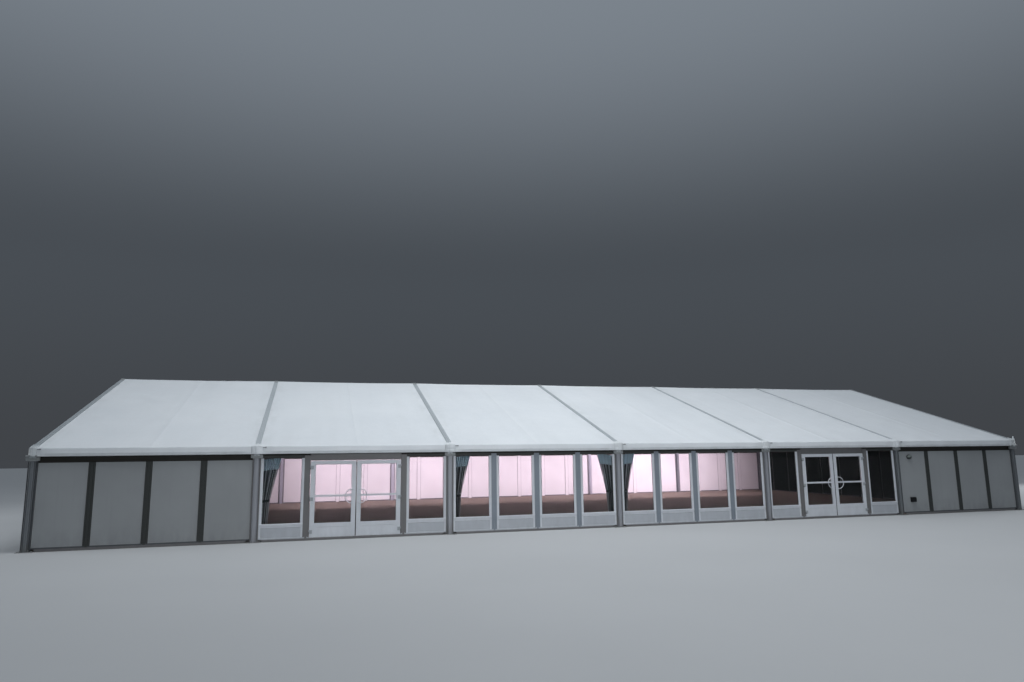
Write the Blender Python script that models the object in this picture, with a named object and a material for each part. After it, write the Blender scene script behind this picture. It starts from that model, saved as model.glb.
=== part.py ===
"""A clearspan marquee tent with hard walls, windows and double doors.

Aluminium portal frames carry tensioned roof sheets. The length runs along X and the span along Y.
The front, with the doors, faces -Y. Z is up from the ground, and the origin lies on the ground in the
middle of the plan.
"""
import math

import bmesh
import bpy
from mathutils import Matrix, Vector

# Overall form
BAY = 5.0                      # spacing of the portal frames
BAYS = 6
SPAN = 15.0                    # front eave fold to back eave fold
EAVE_HEIGHT = 2.40             # ground to the fold of the roof sheet
ROOF_PITCH = math.radians(18.0)
FIT_GAP = 0.0003               # between pieces that touch

# Portal frames
RAFTER_WIDTH = 0.13
RAFTER_DEPTH = 0.24
RAFTER_LIFT = 0.010            # rafter stands proud of the sheets beside it
LEG_INSET = 0.04               # leg face behind the eave fold
LEG_DEPTH = 0.20
CHANNEL_REACH = 0.035          # wall channel beside each leg
CHANNEL_DEPTH = 0.10
CHANNEL_FRONT = 0.009          # channel in front of the mullion faces
CAPITAL_WIDTH = 0.29           # block at the head of each leg
CAPITAL_HEIGHT = 0.10
CAPITAL_INSET = 0.015          # behind the eave fold
CAPITAL_CLEARANCE = 0.005      # in front of the mullion faces
CAPITAL_DROP = 0.010           # below the eave band
FOOT_WIDTH = 0.36
FOOT_DEPTH = 0.28
FOOT_THICKNESS = 0.012

# Roof and gable sheets
SHEET_THICKNESS = 0.012
BAND_HEIGHT = 0.20             # eave band that hangs below the fold
GABLE_SHEET_LAP = 0.05         # sheet behind the head of the gable wall
PURLIN_WIDTH = 0.08
PURLIN_DEPTH = 0.12
PURLIN_COVER = 0.035           # rafter metal left above the ridge purlin

# Floor
FLOOR_RISE = 0.06
FOOT_CLEARANCE = 0.010         # floor notch around each leg foot

# Walls, measured inwards from the outer face of the mullions
WALL_SETBACK = 0.08            # eave fold to the outer face of the mullions
GABLE_SETBACK = 0.015          # end rafter face to the outer face of the gable mullions
WALL_DEPTH = 0.08
MODULES = 4                    # panels in a bay
MULLION_WIDTH = 0.15
PANEL_RECESS = 0.02
PANEL_THICKNESS = 0.04
PANEL_TOP = 2.05               # ground to the head rail over the panels
HEAD_RECESS = 0.035
HEAD_LAP = 0.010               # head rail behind the top of what it carries
GABLE_BAYS = 3
GABLE_POST_WIDTH = 0.13

# Windows
FRAME_DEPTH = 0.05
SASH_WIDTH = 0.07
SASH_RECESS = 0.010
SILL_HEIGHT = 0.446            # ground to the lower edge of the glass
GLASS_TOP = 2.09
GLASS_LAP = 0.03               # glass hidden behind the sash
GLASS_THICKNESS = 0.024

# Double doors
DOOR_BAYS = (2, 5)
WINDOW_BAYS = (3, 4)
DOOR_TOP = 2.02                # ground to the head rail over the doors
LEAF_DEPTH = 0.045
LEAF_SIDE_GAP = 0.010
LEAF_MEETING_GAP = 0.010
LEAF_EDGE_GAP = 0.008          # over the floor and under the head
STILE_WIDTH = 0.12
TOP_RAIL = 0.095
KICK_HEIGHT = 0.36
PUSH_BAR_HEIGHT = 1.11         # ground to the middle of the bar
PUSH_BAR_WIDTH = 0.05
PUSH_BAR_DEPTH = 0.018
PANE_THICKNESS = 0.015
HINGE_HEIGHTS = (0.21, 1.03, 1.84)
HINGE_RADIUS = 0.010
HINGE_LENGTH = 0.10
HINGE_STAND_OFF = 0.016        # axis in front of the leaf face
HINGE_SEGMENTS = 12
HINGE_PLATE_REACH = 0.045
HINGE_PLATE_FRONT = 0.004      # plate in front of the axis
HINGE_PLATE_BITE = 0.002       # plate let into what it is screwed to
HINGE_PLATE_GAP = 0.005        # plate ends, from the middle of the hinge
HINGE_PLATE_END = 0.045
HANDLE_HEIGHT = 1.09
HANDLE_RADIUS = 0.18
HANDLE_SET_BACK = 0.07         # both ends, from the free edge of the leaf
HANDLE_RUN = 0.03              # straight part from each end to the arc
HANDLE_TUBE = 0.011
HANDLE_STAND_OFF = 0.055
HANDLE_SEGMENTS = 12
HANDLE_SIDES = 8

# Curtains and fittings
CURTAIN_THICKNESS = 0.09
CURTAIN_TOP_WIDTH = 0.50
CURTAIN_TIE_WIDTH = 0.235
CURTAIN_HEM_WIDTH = 0.20
CURTAIN_TIE_HEIGHT = 1.00
CURTAIN_SIDE_GAP = 0.02        # beside the leg channel
CURTAIN_FLOOR_GAP = 0.02
CURTAIN_EDGE_GAP = 0.02        # room side of the curtain, inside the edge of its track
TRACK_REACH = 0.13
TRACK_THICKNESS = 0.03
CURTAINS = ((2, "left"), (3, "left"), (3, "right"), (4, "left"))
FITTING_FRAME = 5              # frame line to the left of both fittings, counted from 0
FITTING_OFFSET = 0.53          # from that line to both fittings
LIGHT_HEIGHT = 1.87
LIGHT_RADIUS = 0.10            # half the width
LIGHT_FLATTENING = 0.78        # height as a share of the width
LIGHT_BASE = 0.03
LIGHT_RIM = 0.012
LIGHT_DOME = 0.07
LIGHT_SEGMENTS = 20
LIGHT_STEPS = 4
BOX_HEIGHT = 0.48
BOX_SIZE = (0.20, 0.07, 0.16)
BOX_BEVEL = 0.012

# Derived levels and planes
RIDGE_HEIGHT = EAVE_HEIGHT + SPAN / 2 * math.tan(ROOF_PITCH)
BAND_BOTTOM = EAVE_HEIGHT - BAND_HEIGHT
LEG_FACE = SPAN / 2 - LEG_INSET
LEG_BACK = LEG_FACE - LEG_DEPTH
WALL_FACE = SPAN / 2 - WALL_SETBACK
LEG_HALF = RAFTER_WIDTH / 2 + CHANNEL_REACH
LENGTH = BAY * BAYS
GABLE_FACE = LENGTH / 2 + RAFTER_WIDTH / 2 - GABLE_SETBACK
WALL_BASE = FLOOR_RISE + FIT_GAP
WALL_HALF = BAY / 2 - LEG_HALF - FIT_GAP
PANEL_FACE = PANEL_RECESS - WALL_FACE
MODULE = BAY / MODULES
LEAF_BOTTOM = FLOOR_RISE + LEAF_EDGE_GAP
LEAF_TOP = DOOR_TOP - LEAF_EDGE_GAP
HEAD_TOP = EAVE_HEIGHT
SASH_TOP = GLASS_TOP + GLASS_LAP + HEAD_LAP
GLASS_FACE = FRAME_DEPTH + FIT_GAP
DOORWAY_HALF = MODULE - MULLION_WIDTH / 2
LEAF_WIDTH = DOORWAY_HALF - LEAF_SIDE_GAP - LEAF_MEETING_GAP / 2
GABLE_KNEE = LEG_BACK - FIT_GAP
GABLE_BAY = SPAN / GABLE_BAYS
FITTING_LINE = (FITTING_FRAME - BAYS / 2) * BAY + FITTING_OFFSET

MATERIALS = {}


def material(name, colour, roughness, metallic=0.0, alpha=1.0):
    """One Principled surface for each kind of stuff, made once and shared."""
    if name not in MATERIALS:
        made = bpy.data.materials.new(name)
        made.use_nodes = True
        shader = made.node_tree.nodes["Principled BSDF"]
        shader.inputs["Base Color"].default_value = (*colour, 1.0)
        shader.inputs["Roughness"].default_value = roughness
        shader.inputs["Metallic"].default_value = metallic
        shader.inputs["Alpha"].default_value = alpha
        MATERIALS[name] = made
    return MATERIALS[name]


def aluminium():
    return material("aluminium", (0.60, 0.62, 0.64), 0.42, 0.9)


def roof_cloth():
    return material("roof_cloth", (0.86, 0.88, 0.89), 0.45)


def white_frame():
    return material("white_frame", (0.80, 0.82, 0.84), 0.40)


def white_panel():
    return material("white_panel", (0.56, 0.57, 0.58), 0.55)


def clear_glass():
    return material("clear_glass", (0.62, 0.70, 0.74), 0.06, 0.0, 0.35)


def voile():
    return material("voile", (0.34, 0.36, 0.40), 0.85)


def floor_board():
    return material("floor_board", (0.30, 0.25, 0.20), 0.65)


def lamp_white():
    return material("lamp_white", (0.88, 0.88, 0.84), 0.35)


def black_plastic():
    return material("black_plastic", (0.03, 0.03, 0.03), 0.45)


def add_object(name, mesh, finish):
    """Put a mesh in the scene as one named sub-part."""
    mesh.name = name
    mesh.materials.append(finish)
    made = bpy.data.objects.new(name, mesh)
    bpy.context.scene.collection.objects.link(made)
    return made


def mesh_from(shape):
    """Turn a bmesh into a mesh with its faces pointing out."""
    bmesh.ops.recalc_face_normals(shape, faces=shape.faces)
    mesh = bpy.data.meshes.new("shape")
    shape.to_mesh(mesh)
    shape.free()
    return mesh


def box_mesh(low, high):
    """A box between two corners."""
    shape = bmesh.new()
    size = [high[i] - low[i] for i in range(3)]
    middle = [(high[i] + low[i]) / 2 for i in range(3)]
    matrix = Matrix.Translation(middle) @ Matrix.Diagonal((*size, 1.0))
    bmesh.ops.create_cube(shape, size=1.0, matrix=matrix)
    return mesh_from(shape)


def prism_mesh(outline, axis, start, end):
    """Extrude an outline along an axis. The outline gives the other two coordinates in order."""
    shape = bmesh.new()
    corners = []
    for first, second in outline:
        place = [first, second]
        place.insert(axis, start)
        corners.append(shape.verts.new(place))
    face = shape.faces.new(corners)
    made = bmesh.ops.extrude_face_region(shape, geom=[face])
    along = Vector((0.0, 0.0, 0.0))
    along[axis] = end - start
    moved = [item for item in made["geom"] if isinstance(item, bmesh.types.BMVert)]
    bmesh.ops.translate(shape, verts=moved, vec=along)
    return mesh_from(shape)


def cylinder_mesh(centre, radius, low, high, segments):
    """An upright cylinder."""
    shape = bmesh.new()
    matrix = Matrix.Translation((centre[0], centre[1], (low + high) / 2))
    bmesh.ops.create_cone(shape, cap_ends=True, segments=segments, radius1=radius, radius2=radius,
                          depth=high - low, matrix=matrix)
    return mesh_from(shape)


def combine(target, mesh, operation):
    """Join a second shape to an object, or cut it away, with a Boolean modifier."""
    tool = bpy.data.objects.new(target.name + "_tool", mesh)
    bpy.context.scene.collection.objects.link(tool)
    tool.hide_render = True
    tool.display_type = 'WIRE'
    tool.parent = target
    step = target.modifiers.new(operation.lower(), 'BOOLEAN')
    step.operation = operation
    step.solver = 'EXACT'
    step.object = tool


def join(target, mesh):
    combine(target, mesh, 'UNION')


def cut(target, mesh):
    combine(target, mesh, 'DIFFERENCE')


def frame_line(index):
    """X of portal frame 0 to BAYS."""
    return (index - BAYS / 2) * BAY


def bay_middle(bay):
    """X of the middle of bay 1 to BAYS."""
    return frame_line(bay - 1) + BAY / 2


def rafter_height(y, below=0.0):
    """Height of the rafter's top face at a distance from the middle, less a depth square to it."""
    top = EAVE_HEIGHT + RAFTER_LIFT + (SPAN / 2 - abs(y)) * math.tan(ROOF_PITCH)
    return top - below / math.cos(ROOF_PITCH)


def gable_head_top():
    """The gable wall stops under the knee where the end rafters meet the legs."""
    return rafter_height(GABLE_KNEE, RAFTER_DEPTH) - FIT_GAP


def portal_frame(index):
    """Two legs and two rafters with their eave knuckles, wall channels and feet."""
    outer = [
        (LEG_FACE, 0.0), (LEG_FACE, BAND_BOTTOM), (SPAN / 2, BAND_BOTTOM),
        (SPAN / 2, rafter_height(SPAN / 2)), (0.0, rafter_height(0.0)),
    ]
    inner = [
        (0.0, rafter_height(0.0, RAFTER_DEPTH)), (LEG_BACK, rafter_height(LEG_BACK, RAFTER_DEPTH)),
        (LEG_BACK, 0.0),
    ]
    other_outer = [(-y, z) for y, z in reversed(outer[:-1])]
    other_inner = [(-y, z) for y, z in reversed(inner[1:])]
    outline = outer + other_outer + other_inner + inner
    half = RAFTER_WIDTH / 2
    name = "portal_frame_%d" % (index + 1)
    frame = add_object(name, prism_mesh(outline, 0, -half, half), aluminium())
    frame.location.x = frame_line(index)
    for side in (-1, 1):
        channel_face = side * (WALL_FACE + CHANNEL_FRONT)
        channel = sorted((channel_face, channel_face - side * CHANNEL_DEPTH))
        join(frame, box_mesh((-LEG_HALF, channel[0], 0.0), (LEG_HALF, channel[1], BAND_BOTTOM)))
        capital = sorted((side * (WALL_FACE + CAPITAL_CLEARANCE), side * (SPAN / 2 - CAPITAL_INSET)))
        capital_top = BAND_BOTTOM - CAPITAL_DROP
        join(frame, box_mesh((-CAPITAL_WIDTH / 2, capital[0], capital_top - CAPITAL_HEIGHT),
                             (CAPITAL_WIDTH / 2, capital[1], capital_top)))
        foot_middle = side * (LEG_FACE + LEG_BACK) / 2
        join(frame, box_mesh((-FOOT_WIDTH / 2, foot_middle - FOOT_DEPTH / 2, 0.0),
                             (FOOT_WIDTH / 2, foot_middle + FOOT_DEPTH / 2, FOOT_THICKNESS)))
    cut(frame, prism_mesh(purlin_outline(FIT_GAP), 0, -RAFTER_WIDTH, RAFTER_WIDTH))


def purlin_outline(grown=0.0):
    """Section of the ridge purlin, or of the hole that it passes through."""
    half = PURLIN_WIDTH / 2 + grown
    top = rafter_height(0.0) - RAFTER_LIFT - PURLIN_COVER + grown
    bottom = rafter_height(0.0) - RAFTER_LIFT - PURLIN_COVER - PURLIN_DEPTH - grown
    return [(-half, bottom), (half, bottom), (half, top), (-half, top)]


def ridge_purlin():
    """The tube that runs under the ridge through every frame."""
    reach = LENGTH / 2 + RAFTER_WIDTH / 2
    add_object("ridge_purlin", prism_mesh(purlin_outline(), 0, -reach, reach), aluminium())


def roof_sheet(bay):
    """One bay of cloth from the front eave band over the ridge to the back one."""
    slope = SHEET_THICKNESS / math.cos(ROOF_PITCH)
    inside = SPAN / 2 - SHEET_THICKNESS
    fold_inside = EAVE_HEIGHT + SHEET_THICKNESS * math.tan(ROOF_PITCH) - slope
    outer = [(SPAN / 2, BAND_BOTTOM), (SPAN / 2, EAVE_HEIGHT), (0.0, RIDGE_HEIGHT)]
    inner = [(0.0, RIDGE_HEIGHT - slope), (inside, fold_inside), (inside, BAND_BOTTOM)]
    outline = outer + [(-y, z) for y, z in reversed(outer[:-1])]
    outline += [(-y, z) for y, z in reversed(inner[1:])] + inner
    reach = BAY / 2 - RAFTER_WIDTH / 2 - FIT_GAP
    sheet = add_object("roof_sheet_%d" % bay, prism_mesh(outline, 0, -reach, reach), roof_cloth())
    sheet.location.x = bay_middle(bay)


def gable_sheet(side, name):
    """The cloth triangle between the end rafters and the head of the gable wall."""
    knee = gable_head_top()
    bottom = knee - GABLE_SHEET_LAP
    top = rafter_height(0.0, RAFTER_DEPTH) - FIT_GAP
    outline = [(-GABLE_KNEE, bottom), (GABLE_KNEE, bottom), (GABLE_KNEE, knee)]
    outline += [(0.0, top), (-GABLE_KNEE, knee)]
    start = GABLE_FACE - WALL_DEPTH - FIT_GAP
    ends = sorted((side * start, side * (start - SHEET_THICKNESS)))
    add_object(name, prism_mesh(outline, 0, *ends), roof_cloth())


def floor():
    """The raised floor inside the walls, notched around the leg feet."""
    notch = FOOT_WIDTH / 2 + FOOT_CLEARANCE
    notch_depth = (LEG_FACE + LEG_BACK) / 2 - FOOT_DEPTH / 2 - FOOT_CLEARANCE
    end = GABLE_FACE
    edge = [(-end, -notch_depth), (frame_line(0) + notch, -notch_depth), (frame_line(0) + notch, -WALL_FACE)]
    for index in range(1, BAYS):
        line = frame_line(index)
        edge += [(line - notch, -WALL_FACE), (line - notch, -notch_depth)]
        edge += [(line + notch, -notch_depth), (line + notch, -WALL_FACE)]
    last = frame_line(BAYS) - notch
    edge += [(last, -WALL_FACE), (last, -notch_depth), (end, -notch_depth)]
    outline = edge + [(-x, -y) for x, y in edge]
    add_object("floor", prism_mesh(outline, 2, 0.0, FLOOR_RISE), floor_board())


def place_wall(wall, side, middle):
    """Turn a wall, made facing -Y about its own middle, to its side of the building."""
    turns = {"front": 0.0, "right": math.pi / 2, "back": math.pi, "left": -math.pi / 2}
    places = {
        "front": (middle, -WALL_FACE), "right": (GABLE_FACE, middle),
        "back": (middle, WALL_FACE), "left": (-GABLE_FACE, middle),
    }
    wall.rotation_euler.z = turns[side]
    wall.location = (*places[side], 0.0)


def solid_wall(name, half, modules, pitch, head_top):
    """Flat panels held by mullions at an even pitch, under a recessed head rail."""
    low = (-half, PANEL_RECESS, WALL_BASE)
    high = (half, PANEL_RECESS + PANEL_THICKNESS, PANEL_TOP)
    wall = add_object(name, box_mesh(low, high), white_panel())
    for number in range(1, modules):
        line = (number - modules / 2) * pitch
        join(wall, box_mesh((line - MULLION_WIDTH / 2, 0.0, WALL_BASE),
                            (line + MULLION_WIDTH / 2, WALL_DEPTH, PANEL_TOP)))
    join(wall, box_mesh((-half, HEAD_RECESS, PANEL_TOP - HEAD_LAP), (half, WALL_DEPTH, head_top)))
    return wall


def side_wall(bay, side):
    """One bay of plain wall between two legs."""
    wall = solid_wall("%s_wall_%d" % (side, bay), WALL_HALF, MODULES, MODULE, HEAD_TOP)
    place_wall(wall, side, bay_middle(bay))


def gable_wall(side):
    """The end wall between the corner legs, with the posts that reach up to the rafters."""
    modules = GABLE_BAYS * MODULES
    wall = solid_wall("gable_wall_" + side, GABLE_KNEE, modules, GABLE_BAY / MODULES, gable_head_top())
    half = GABLE_POST_WIDTH / 2
    for number in range(1, GABLE_BAYS):
        line = (number - GABLE_BAYS / 2) * GABLE_BAY
        outline = [(line - half, WALL_BASE), (line + half, WALL_BASE)]
        outline += [(x, rafter_height(x, RAFTER_DEPTH) - FIT_GAP) for x in (line + half, line - half)]
        join(wall, prism_mesh(outline, 1, -GABLE_SETBACK / 2, WALL_DEPTH))
    place_wall(wall, side, 0.0)


def window_wall(name, bay, left, right, posts, track):
    """A glazed wall between two edges, with a post on each line given."""
    low = (left, SASH_RECESS, WALL_BASE)
    wall = add_object(name, box_mesh(low, (right, FRAME_DEPTH, SASH_TOP)), white_frame())
    half = MULLION_WIDTH / 2
    edges = [left]
    for line in posts:
        join(wall, box_mesh((line - half, 0.0, WALL_BASE), (line + half, FRAME_DEPTH, SASH_TOP)))
        edges += [line - half, line + half]
    edges.append(right)
    for start, end in zip(edges[::2], edges[1::2]):
        if end - start > MODULE / 2:
            cut(wall, box_mesh((start + SASH_WIDTH, -FRAME_DEPTH, SILL_HEIGHT),
                               (end - SASH_WIDTH, FRAME_DEPTH * 2, GLASS_TOP)))
    join(wall, box_mesh((left, HEAD_RECESS, SASH_TOP - HEAD_LAP), (right, WALL_DEPTH, HEAD_TOP)))
    if track:
        join(wall, box_mesh((left, HEAD_RECESS + HEAD_LAP, SASH_TOP),
                            (right, WALL_DEPTH + TRACK_REACH, SASH_TOP + TRACK_THICKNESS)))
    place_wall(wall, "front", bay_middle(bay))
    return wall


def window_glass(name, bay, left, right):
    """The glass behind the sashes."""
    low = (left, GLASS_FACE, SILL_HEIGHT - GLASS_LAP)
    high = (right, GLASS_FACE + GLASS_THICKNESS, GLASS_TOP + GLASS_LAP - FIT_GAP)
    place_wall(add_object(name, box_mesh(low, high), clear_glass()), "front", bay_middle(bay))


def window_bay(bay):
    """Four windows between two legs, closed by one sheet of glass."""
    posts = [(number - MODULES / 2) * MODULE for number in range(1, MODULES)]
    window_wall("front_wall_%d" % bay, bay, -WALL_HALF, WALL_HALF, posts, has_curtain(bay))
    window_glass("front_glass_%d" % bay, bay, -WALL_HALF, WALL_HALF)


def door_bay(bay):
    """A window on each side of a pair of doors, and the head rail over the doorway."""
    for side, sign in (("left", -1), ("right", 1)):
        post = sign * MODULE
        inner = sign * DOORWAY_HALF
        edges = sorted((sign * WALL_HALF, inner))
        name = "side_window_%d_%s" % (bay, side)
        wall = window_wall(name, bay, *edges, [post], (bay, side) in CURTAINS)
        axis = inner - sign * LEAF_SIDE_GAP / 2
        add_hinges(wall, (axis, -HINGE_STAND_OFF), sign, -1)
        window_glass("side_glass_%d_%s" % (bay, side), bay, *sorted((sign * WALL_HALF, post)))
        door_leaf(bay, side, sign)
    reach = DOORWAY_HALF - FIT_GAP
    rail = box_mesh((-reach, HEAD_RECESS, DOOR_TOP), (reach, WALL_DEPTH, HEAD_TOP))
    place_wall(add_object("door_head_%d" % bay, rail, white_frame()), "front", bay_middle(bay))


def add_hinges(target, axis, reach_sign, half):
    """Half of each hinge on one axis: the upper knuckles for half = 1, the lower ones for half = -1."""
    for height in HINGE_HEIGHTS:
        ends = sorted((height + half * FIT_GAP / 2, height + half * HINGE_LENGTH / 2))
        join(target, cylinder_mesh(axis, HINGE_RADIUS, *ends, HINGE_SEGMENTS))
        sides = sorted((axis[0], axis[0] + reach_sign * HINGE_PLATE_REACH))
        ends = sorted((height + half * HINGE_PLATE_GAP, height + half * HINGE_PLATE_END))
        join(target, box_mesh((sides[0], axis[1] - HINGE_PLATE_FRONT, ends[0]),
                              (sides[1], axis[1] + HINGE_STAND_OFF + HINGE_PLATE_BITE, ends[1])))


def door_leaf(bay, side, sign):
    """A leaf about its hinge axis, with its push bar and knuckles. It carries its glass and its handle."""
    inward = -sign

    def across(near, far):
        return sorted((inward * near, inward * far))

    near = LEAF_SIDE_GAP / 2
    far = near + LEAF_WIDTH
    face = HINGE_STAND_OFF
    back = face + LEAF_DEPTH
    opening = across(near + STILE_WIDTH, far - STILE_WIDTH)
    sill = LEAF_BOTTOM + KICK_HEIGHT
    head = LEAF_TOP - TOP_RAIL
    edges = across(near, far)
    name = "door_%d_%s" % (bay, side)
    slab = box_mesh((edges[0], face, LEAF_BOTTOM), (edges[1], back, LEAF_TOP))
    leaf = add_object(name, slab, white_frame())
    cut(leaf, box_mesh((opening[0], face - LEAF_DEPTH, sill), (opening[1], back + LEAF_DEPTH, head)))
    bar_low = PUSH_BAR_HEIGHT - PUSH_BAR_WIDTH / 2
    join(leaf, box_mesh((opening[0] - PUSH_BAR_DEPTH, face, bar_low),
                        (opening[1] + PUSH_BAR_DEPTH, face + PUSH_BAR_DEPTH, bar_low + PUSH_BAR_WIDTH)))
    add_hinges(leaf, (0.0, 0.0), inward, 1)
    leaf.location = (bay_middle(bay) + sign * (DOORWAY_HALF - LEAF_SIDE_GAP / 2),
                     -WALL_FACE - HINGE_STAND_OFF, 0.0)
    pane_face = face + PUSH_BAR_DEPTH + FIT_GAP
    pane_low = (opening[0] + FIT_GAP, pane_face, sill + FIT_GAP)
    pane_high = (opening[1] - FIT_GAP, pane_face + PANE_THICKNESS, head - FIT_GAP)
    pane = add_object(name + "_glass", box_mesh(pane_low, pane_high), clear_glass())
    pane.parent = leaf
    handle = tube_mesh(handle_path(inward, far, face), HANDLE_TUBE, HANDLE_SIDES)
    add_object(name + "_handle", handle, white_frame()).parent = leaf


def handle_path(inward, far, face):
    """A half moon in front of the leaf, its two ends turned back to the stile."""
    x = far - HANDLE_SET_BACK
    front = face - HANDLE_STAND_OFF
    arc = []
    for step in range(HANDLE_SEGMENTS + 1):
        angle = math.pi * (0.5 + step / HANDLE_SEGMENTS)
        arc.append((inward * (x - HANDLE_RUN + HANDLE_RADIUS * math.cos(angle)), front,
                    HANDLE_HEIGHT + HANDLE_RADIUS * math.sin(angle)))
    root = face - FIT_GAP
    corner = front + HANDLE_TUBE
    end = inward * x
    top, bottom = arc[0][2], arc[-1][2]
    return [(end, root, top), (end, corner, top)] + arc + [(end, corner, bottom), (end, root, bottom)]


def tube_mesh(path, radius, sides):
    """A closed tube along a path of points."""
    points = [Vector(point) for point in path]
    runs = [(after - before).normalized() for before, after in zip(points, points[1:])]
    shape = bmesh.new()
    rings = []
    normal = Vector((1.0, 0.0, 0.0))
    for point, before, after in zip(points, runs[:1] + runs, runs + runs[-1:]):
        along = (before + after).normalized()
        normal = (normal - along * normal.dot(along)).normalized()
        across = along.cross(normal)
        ring = []
        for side in range(sides):
            angle = 2 * math.pi * side / sides
            outwards = normal * math.cos(angle) + across * math.sin(angle)
            ring.append(shape.verts.new(point + outwards * radius))
        rings.append(ring)
    for first, second in zip(rings, rings[1:]):
        for side in range(sides):
            after = (side + 1) % sides
            shape.faces.new((first[side], first[after], second[after], second[side]))
    shape.faces.new(rings[0])
    shape.faces.new(rings[-1])
    return mesh_from(shape)


def turned_mesh(profile, segments):
    """A shape of rings about the Y axis. The profile gives radius and Y, and ends on the axis."""
    shape = bmesh.new()
    rings = []
    for radius, y in profile[:-1]:
        angles = [2 * math.pi * number / segments for number in range(segments)]
        rings.append([shape.verts.new((radius * math.cos(a), y, radius * math.sin(a))) for a in angles])
    tip = shape.verts.new((0.0, profile[-1][1], 0.0))
    shape.faces.new(rings[0])
    for first, second in zip(rings, rings[1:]):
        for number in range(segments):
            after = (number + 1) % segments
            shape.faces.new((first[number], first[after], second[after], second[number]))
    for number in range(segments):
        shape.faces.new((rings[-1][number], rings[-1][(number + 1) % segments], tip))
    return mesh_from(shape)


def wall_light():
    """An oval bulkhead light on the first panel of its bay."""
    profile = [(LIGHT_RADIUS, 0.0), (LIGHT_RADIUS, -LIGHT_BASE)]
    dome = LIGHT_RADIUS - LIGHT_RIM
    for step in range(LIGHT_STEPS + 1):
        angle = math.pi / 2 * step / LIGHT_STEPS
        profile.append((dome * math.cos(angle), -LIGHT_BASE - LIGHT_DOME * math.sin(angle)))
    shell = turned_mesh(profile, LIGHT_SEGMENTS)
    shell.transform(Matrix.Diagonal((1.0, 1.0, LIGHT_FLATTENING, 1.0)))
    light = add_object("wall_light", shell, lamp_white())
    light.location = (FITTING_LINE, PANEL_FACE - FIT_GAP, LIGHT_HEIGHT)


def socket_box():
    """A black weatherproof box low on the same panel."""
    wide, deep, tall = BOX_SIZE
    shell = box_mesh((-wide / 2, -deep, -tall / 2), (wide / 2, 0.0, tall / 2))
    box = add_object("socket_box", shell, black_plastic())
    edge = box.modifiers.new("edge", 'BEVEL')
    edge.width = BOX_BEVEL
    edge.segments = 2
    box.location = (FITTING_LINE, PANEL_FACE - FIT_GAP, BOX_HEIGHT)


def has_curtain(bay):
    return any(hung == bay for hung, side in CURTAINS)


def curtain(bay, side):
    """The room that a tied-back curtain takes up beside a leg."""
    sign = -1 if side == "left" else 1
    edge = BAY / 2 - LEG_HALF - CURTAIN_SIDE_GAP
    bottom = FLOOR_RISE + CURTAIN_FLOOR_GAP
    top = SASH_TOP - FIT_GAP
    outline = [(edge, bottom), (edge, top), (edge - CURTAIN_TOP_WIDTH, top),
               (edge - CURTAIN_TIE_WIDTH, CURTAIN_TIE_HEIGHT), (edge - CURTAIN_HEM_WIDTH, bottom)]
    outline = [(sign * x, z) for x, z in outline]
    back = WALL_DEPTH + TRACK_REACH - CURTAIN_EDGE_GAP
    cloth = prism_mesh(outline, 1, back - CURTAIN_THICKNESS, back)
    place_wall(add_object("curtain_%d_%s" % (bay, side), cloth, voile()), "front", bay_middle(bay))


def build():
    for made in list(bpy.data.objects):
        bpy.data.objects.remove(made)
    floor()
    for index in range(BAYS + 1):
        portal_frame(index)
    for bay in range(1, BAYS + 1):
        roof_sheet(bay)
        side_wall(bay, "back")
        if bay in DOOR_BAYS:
            door_bay(bay)
        elif bay in WINDOW_BAYS:
            window_bay(bay)
        else:
            side_wall(bay, "front")
    ridge_purlin()
    for side, sign in (("left", -1), ("right", 1)):
        gable_sheet(sign, "gable_sheet_" + side)
        gable_wall(side)
    for bay, side in CURTAINS:
        curtain(bay, side)
    wall_light()
    socket_box()


build()
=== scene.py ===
import math

import bmesh
import bpy
from mathutils import Matrix, Vector, noise


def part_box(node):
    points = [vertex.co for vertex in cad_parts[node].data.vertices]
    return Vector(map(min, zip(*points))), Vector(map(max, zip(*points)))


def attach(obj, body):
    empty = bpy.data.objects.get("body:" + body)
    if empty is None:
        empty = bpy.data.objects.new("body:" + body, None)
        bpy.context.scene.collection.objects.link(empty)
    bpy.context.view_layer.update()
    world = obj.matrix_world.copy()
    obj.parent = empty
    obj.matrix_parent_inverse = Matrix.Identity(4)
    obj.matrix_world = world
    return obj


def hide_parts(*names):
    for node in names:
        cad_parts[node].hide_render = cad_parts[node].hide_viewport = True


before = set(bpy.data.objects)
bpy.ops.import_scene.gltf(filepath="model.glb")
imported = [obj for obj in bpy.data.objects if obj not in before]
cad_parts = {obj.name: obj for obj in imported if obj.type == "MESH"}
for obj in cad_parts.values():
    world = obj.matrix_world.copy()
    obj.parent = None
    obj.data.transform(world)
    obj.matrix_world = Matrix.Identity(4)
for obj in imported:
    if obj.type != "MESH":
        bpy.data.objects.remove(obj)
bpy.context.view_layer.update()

# Places read from the frame
FRAMES = [sum(corner.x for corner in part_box(f"portal_frame_{n}")) / 2 for n in range(1, 8)]
BAY = FRAMES[1] - FRAMES[0]
SHEET_LOW, SHEET_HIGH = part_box("roof_sheet_1")
WALL_LOW, WALL_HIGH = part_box("back_wall_1")
EAVE_Y = SHEET_HIGH.y
RIDGE_Z = SHEET_HIGH.z
BAND_BOTTOM = SHEET_LOW.z
SHEET_HALF = (SHEET_HIGH.x - SHEET_LOW.x) / 2
EAVE_Z = WALL_HIGH.z
WALL_FACE = WALL_HIGH.y
WALL_HALF = (WALL_HIGH.x - WALL_LOW.x) / 2
WALL_BASE = WALL_LOW.z
GABLE_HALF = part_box("gable_wall_right")[1].y
GABLE_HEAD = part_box("gable_sheet_left")[0].z + 0.04
FRAME_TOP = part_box("portal_frame_1")[1].z
PITCH = math.atan2(RIDGE_Z - EAVE_Z, EAVE_Y)

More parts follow.
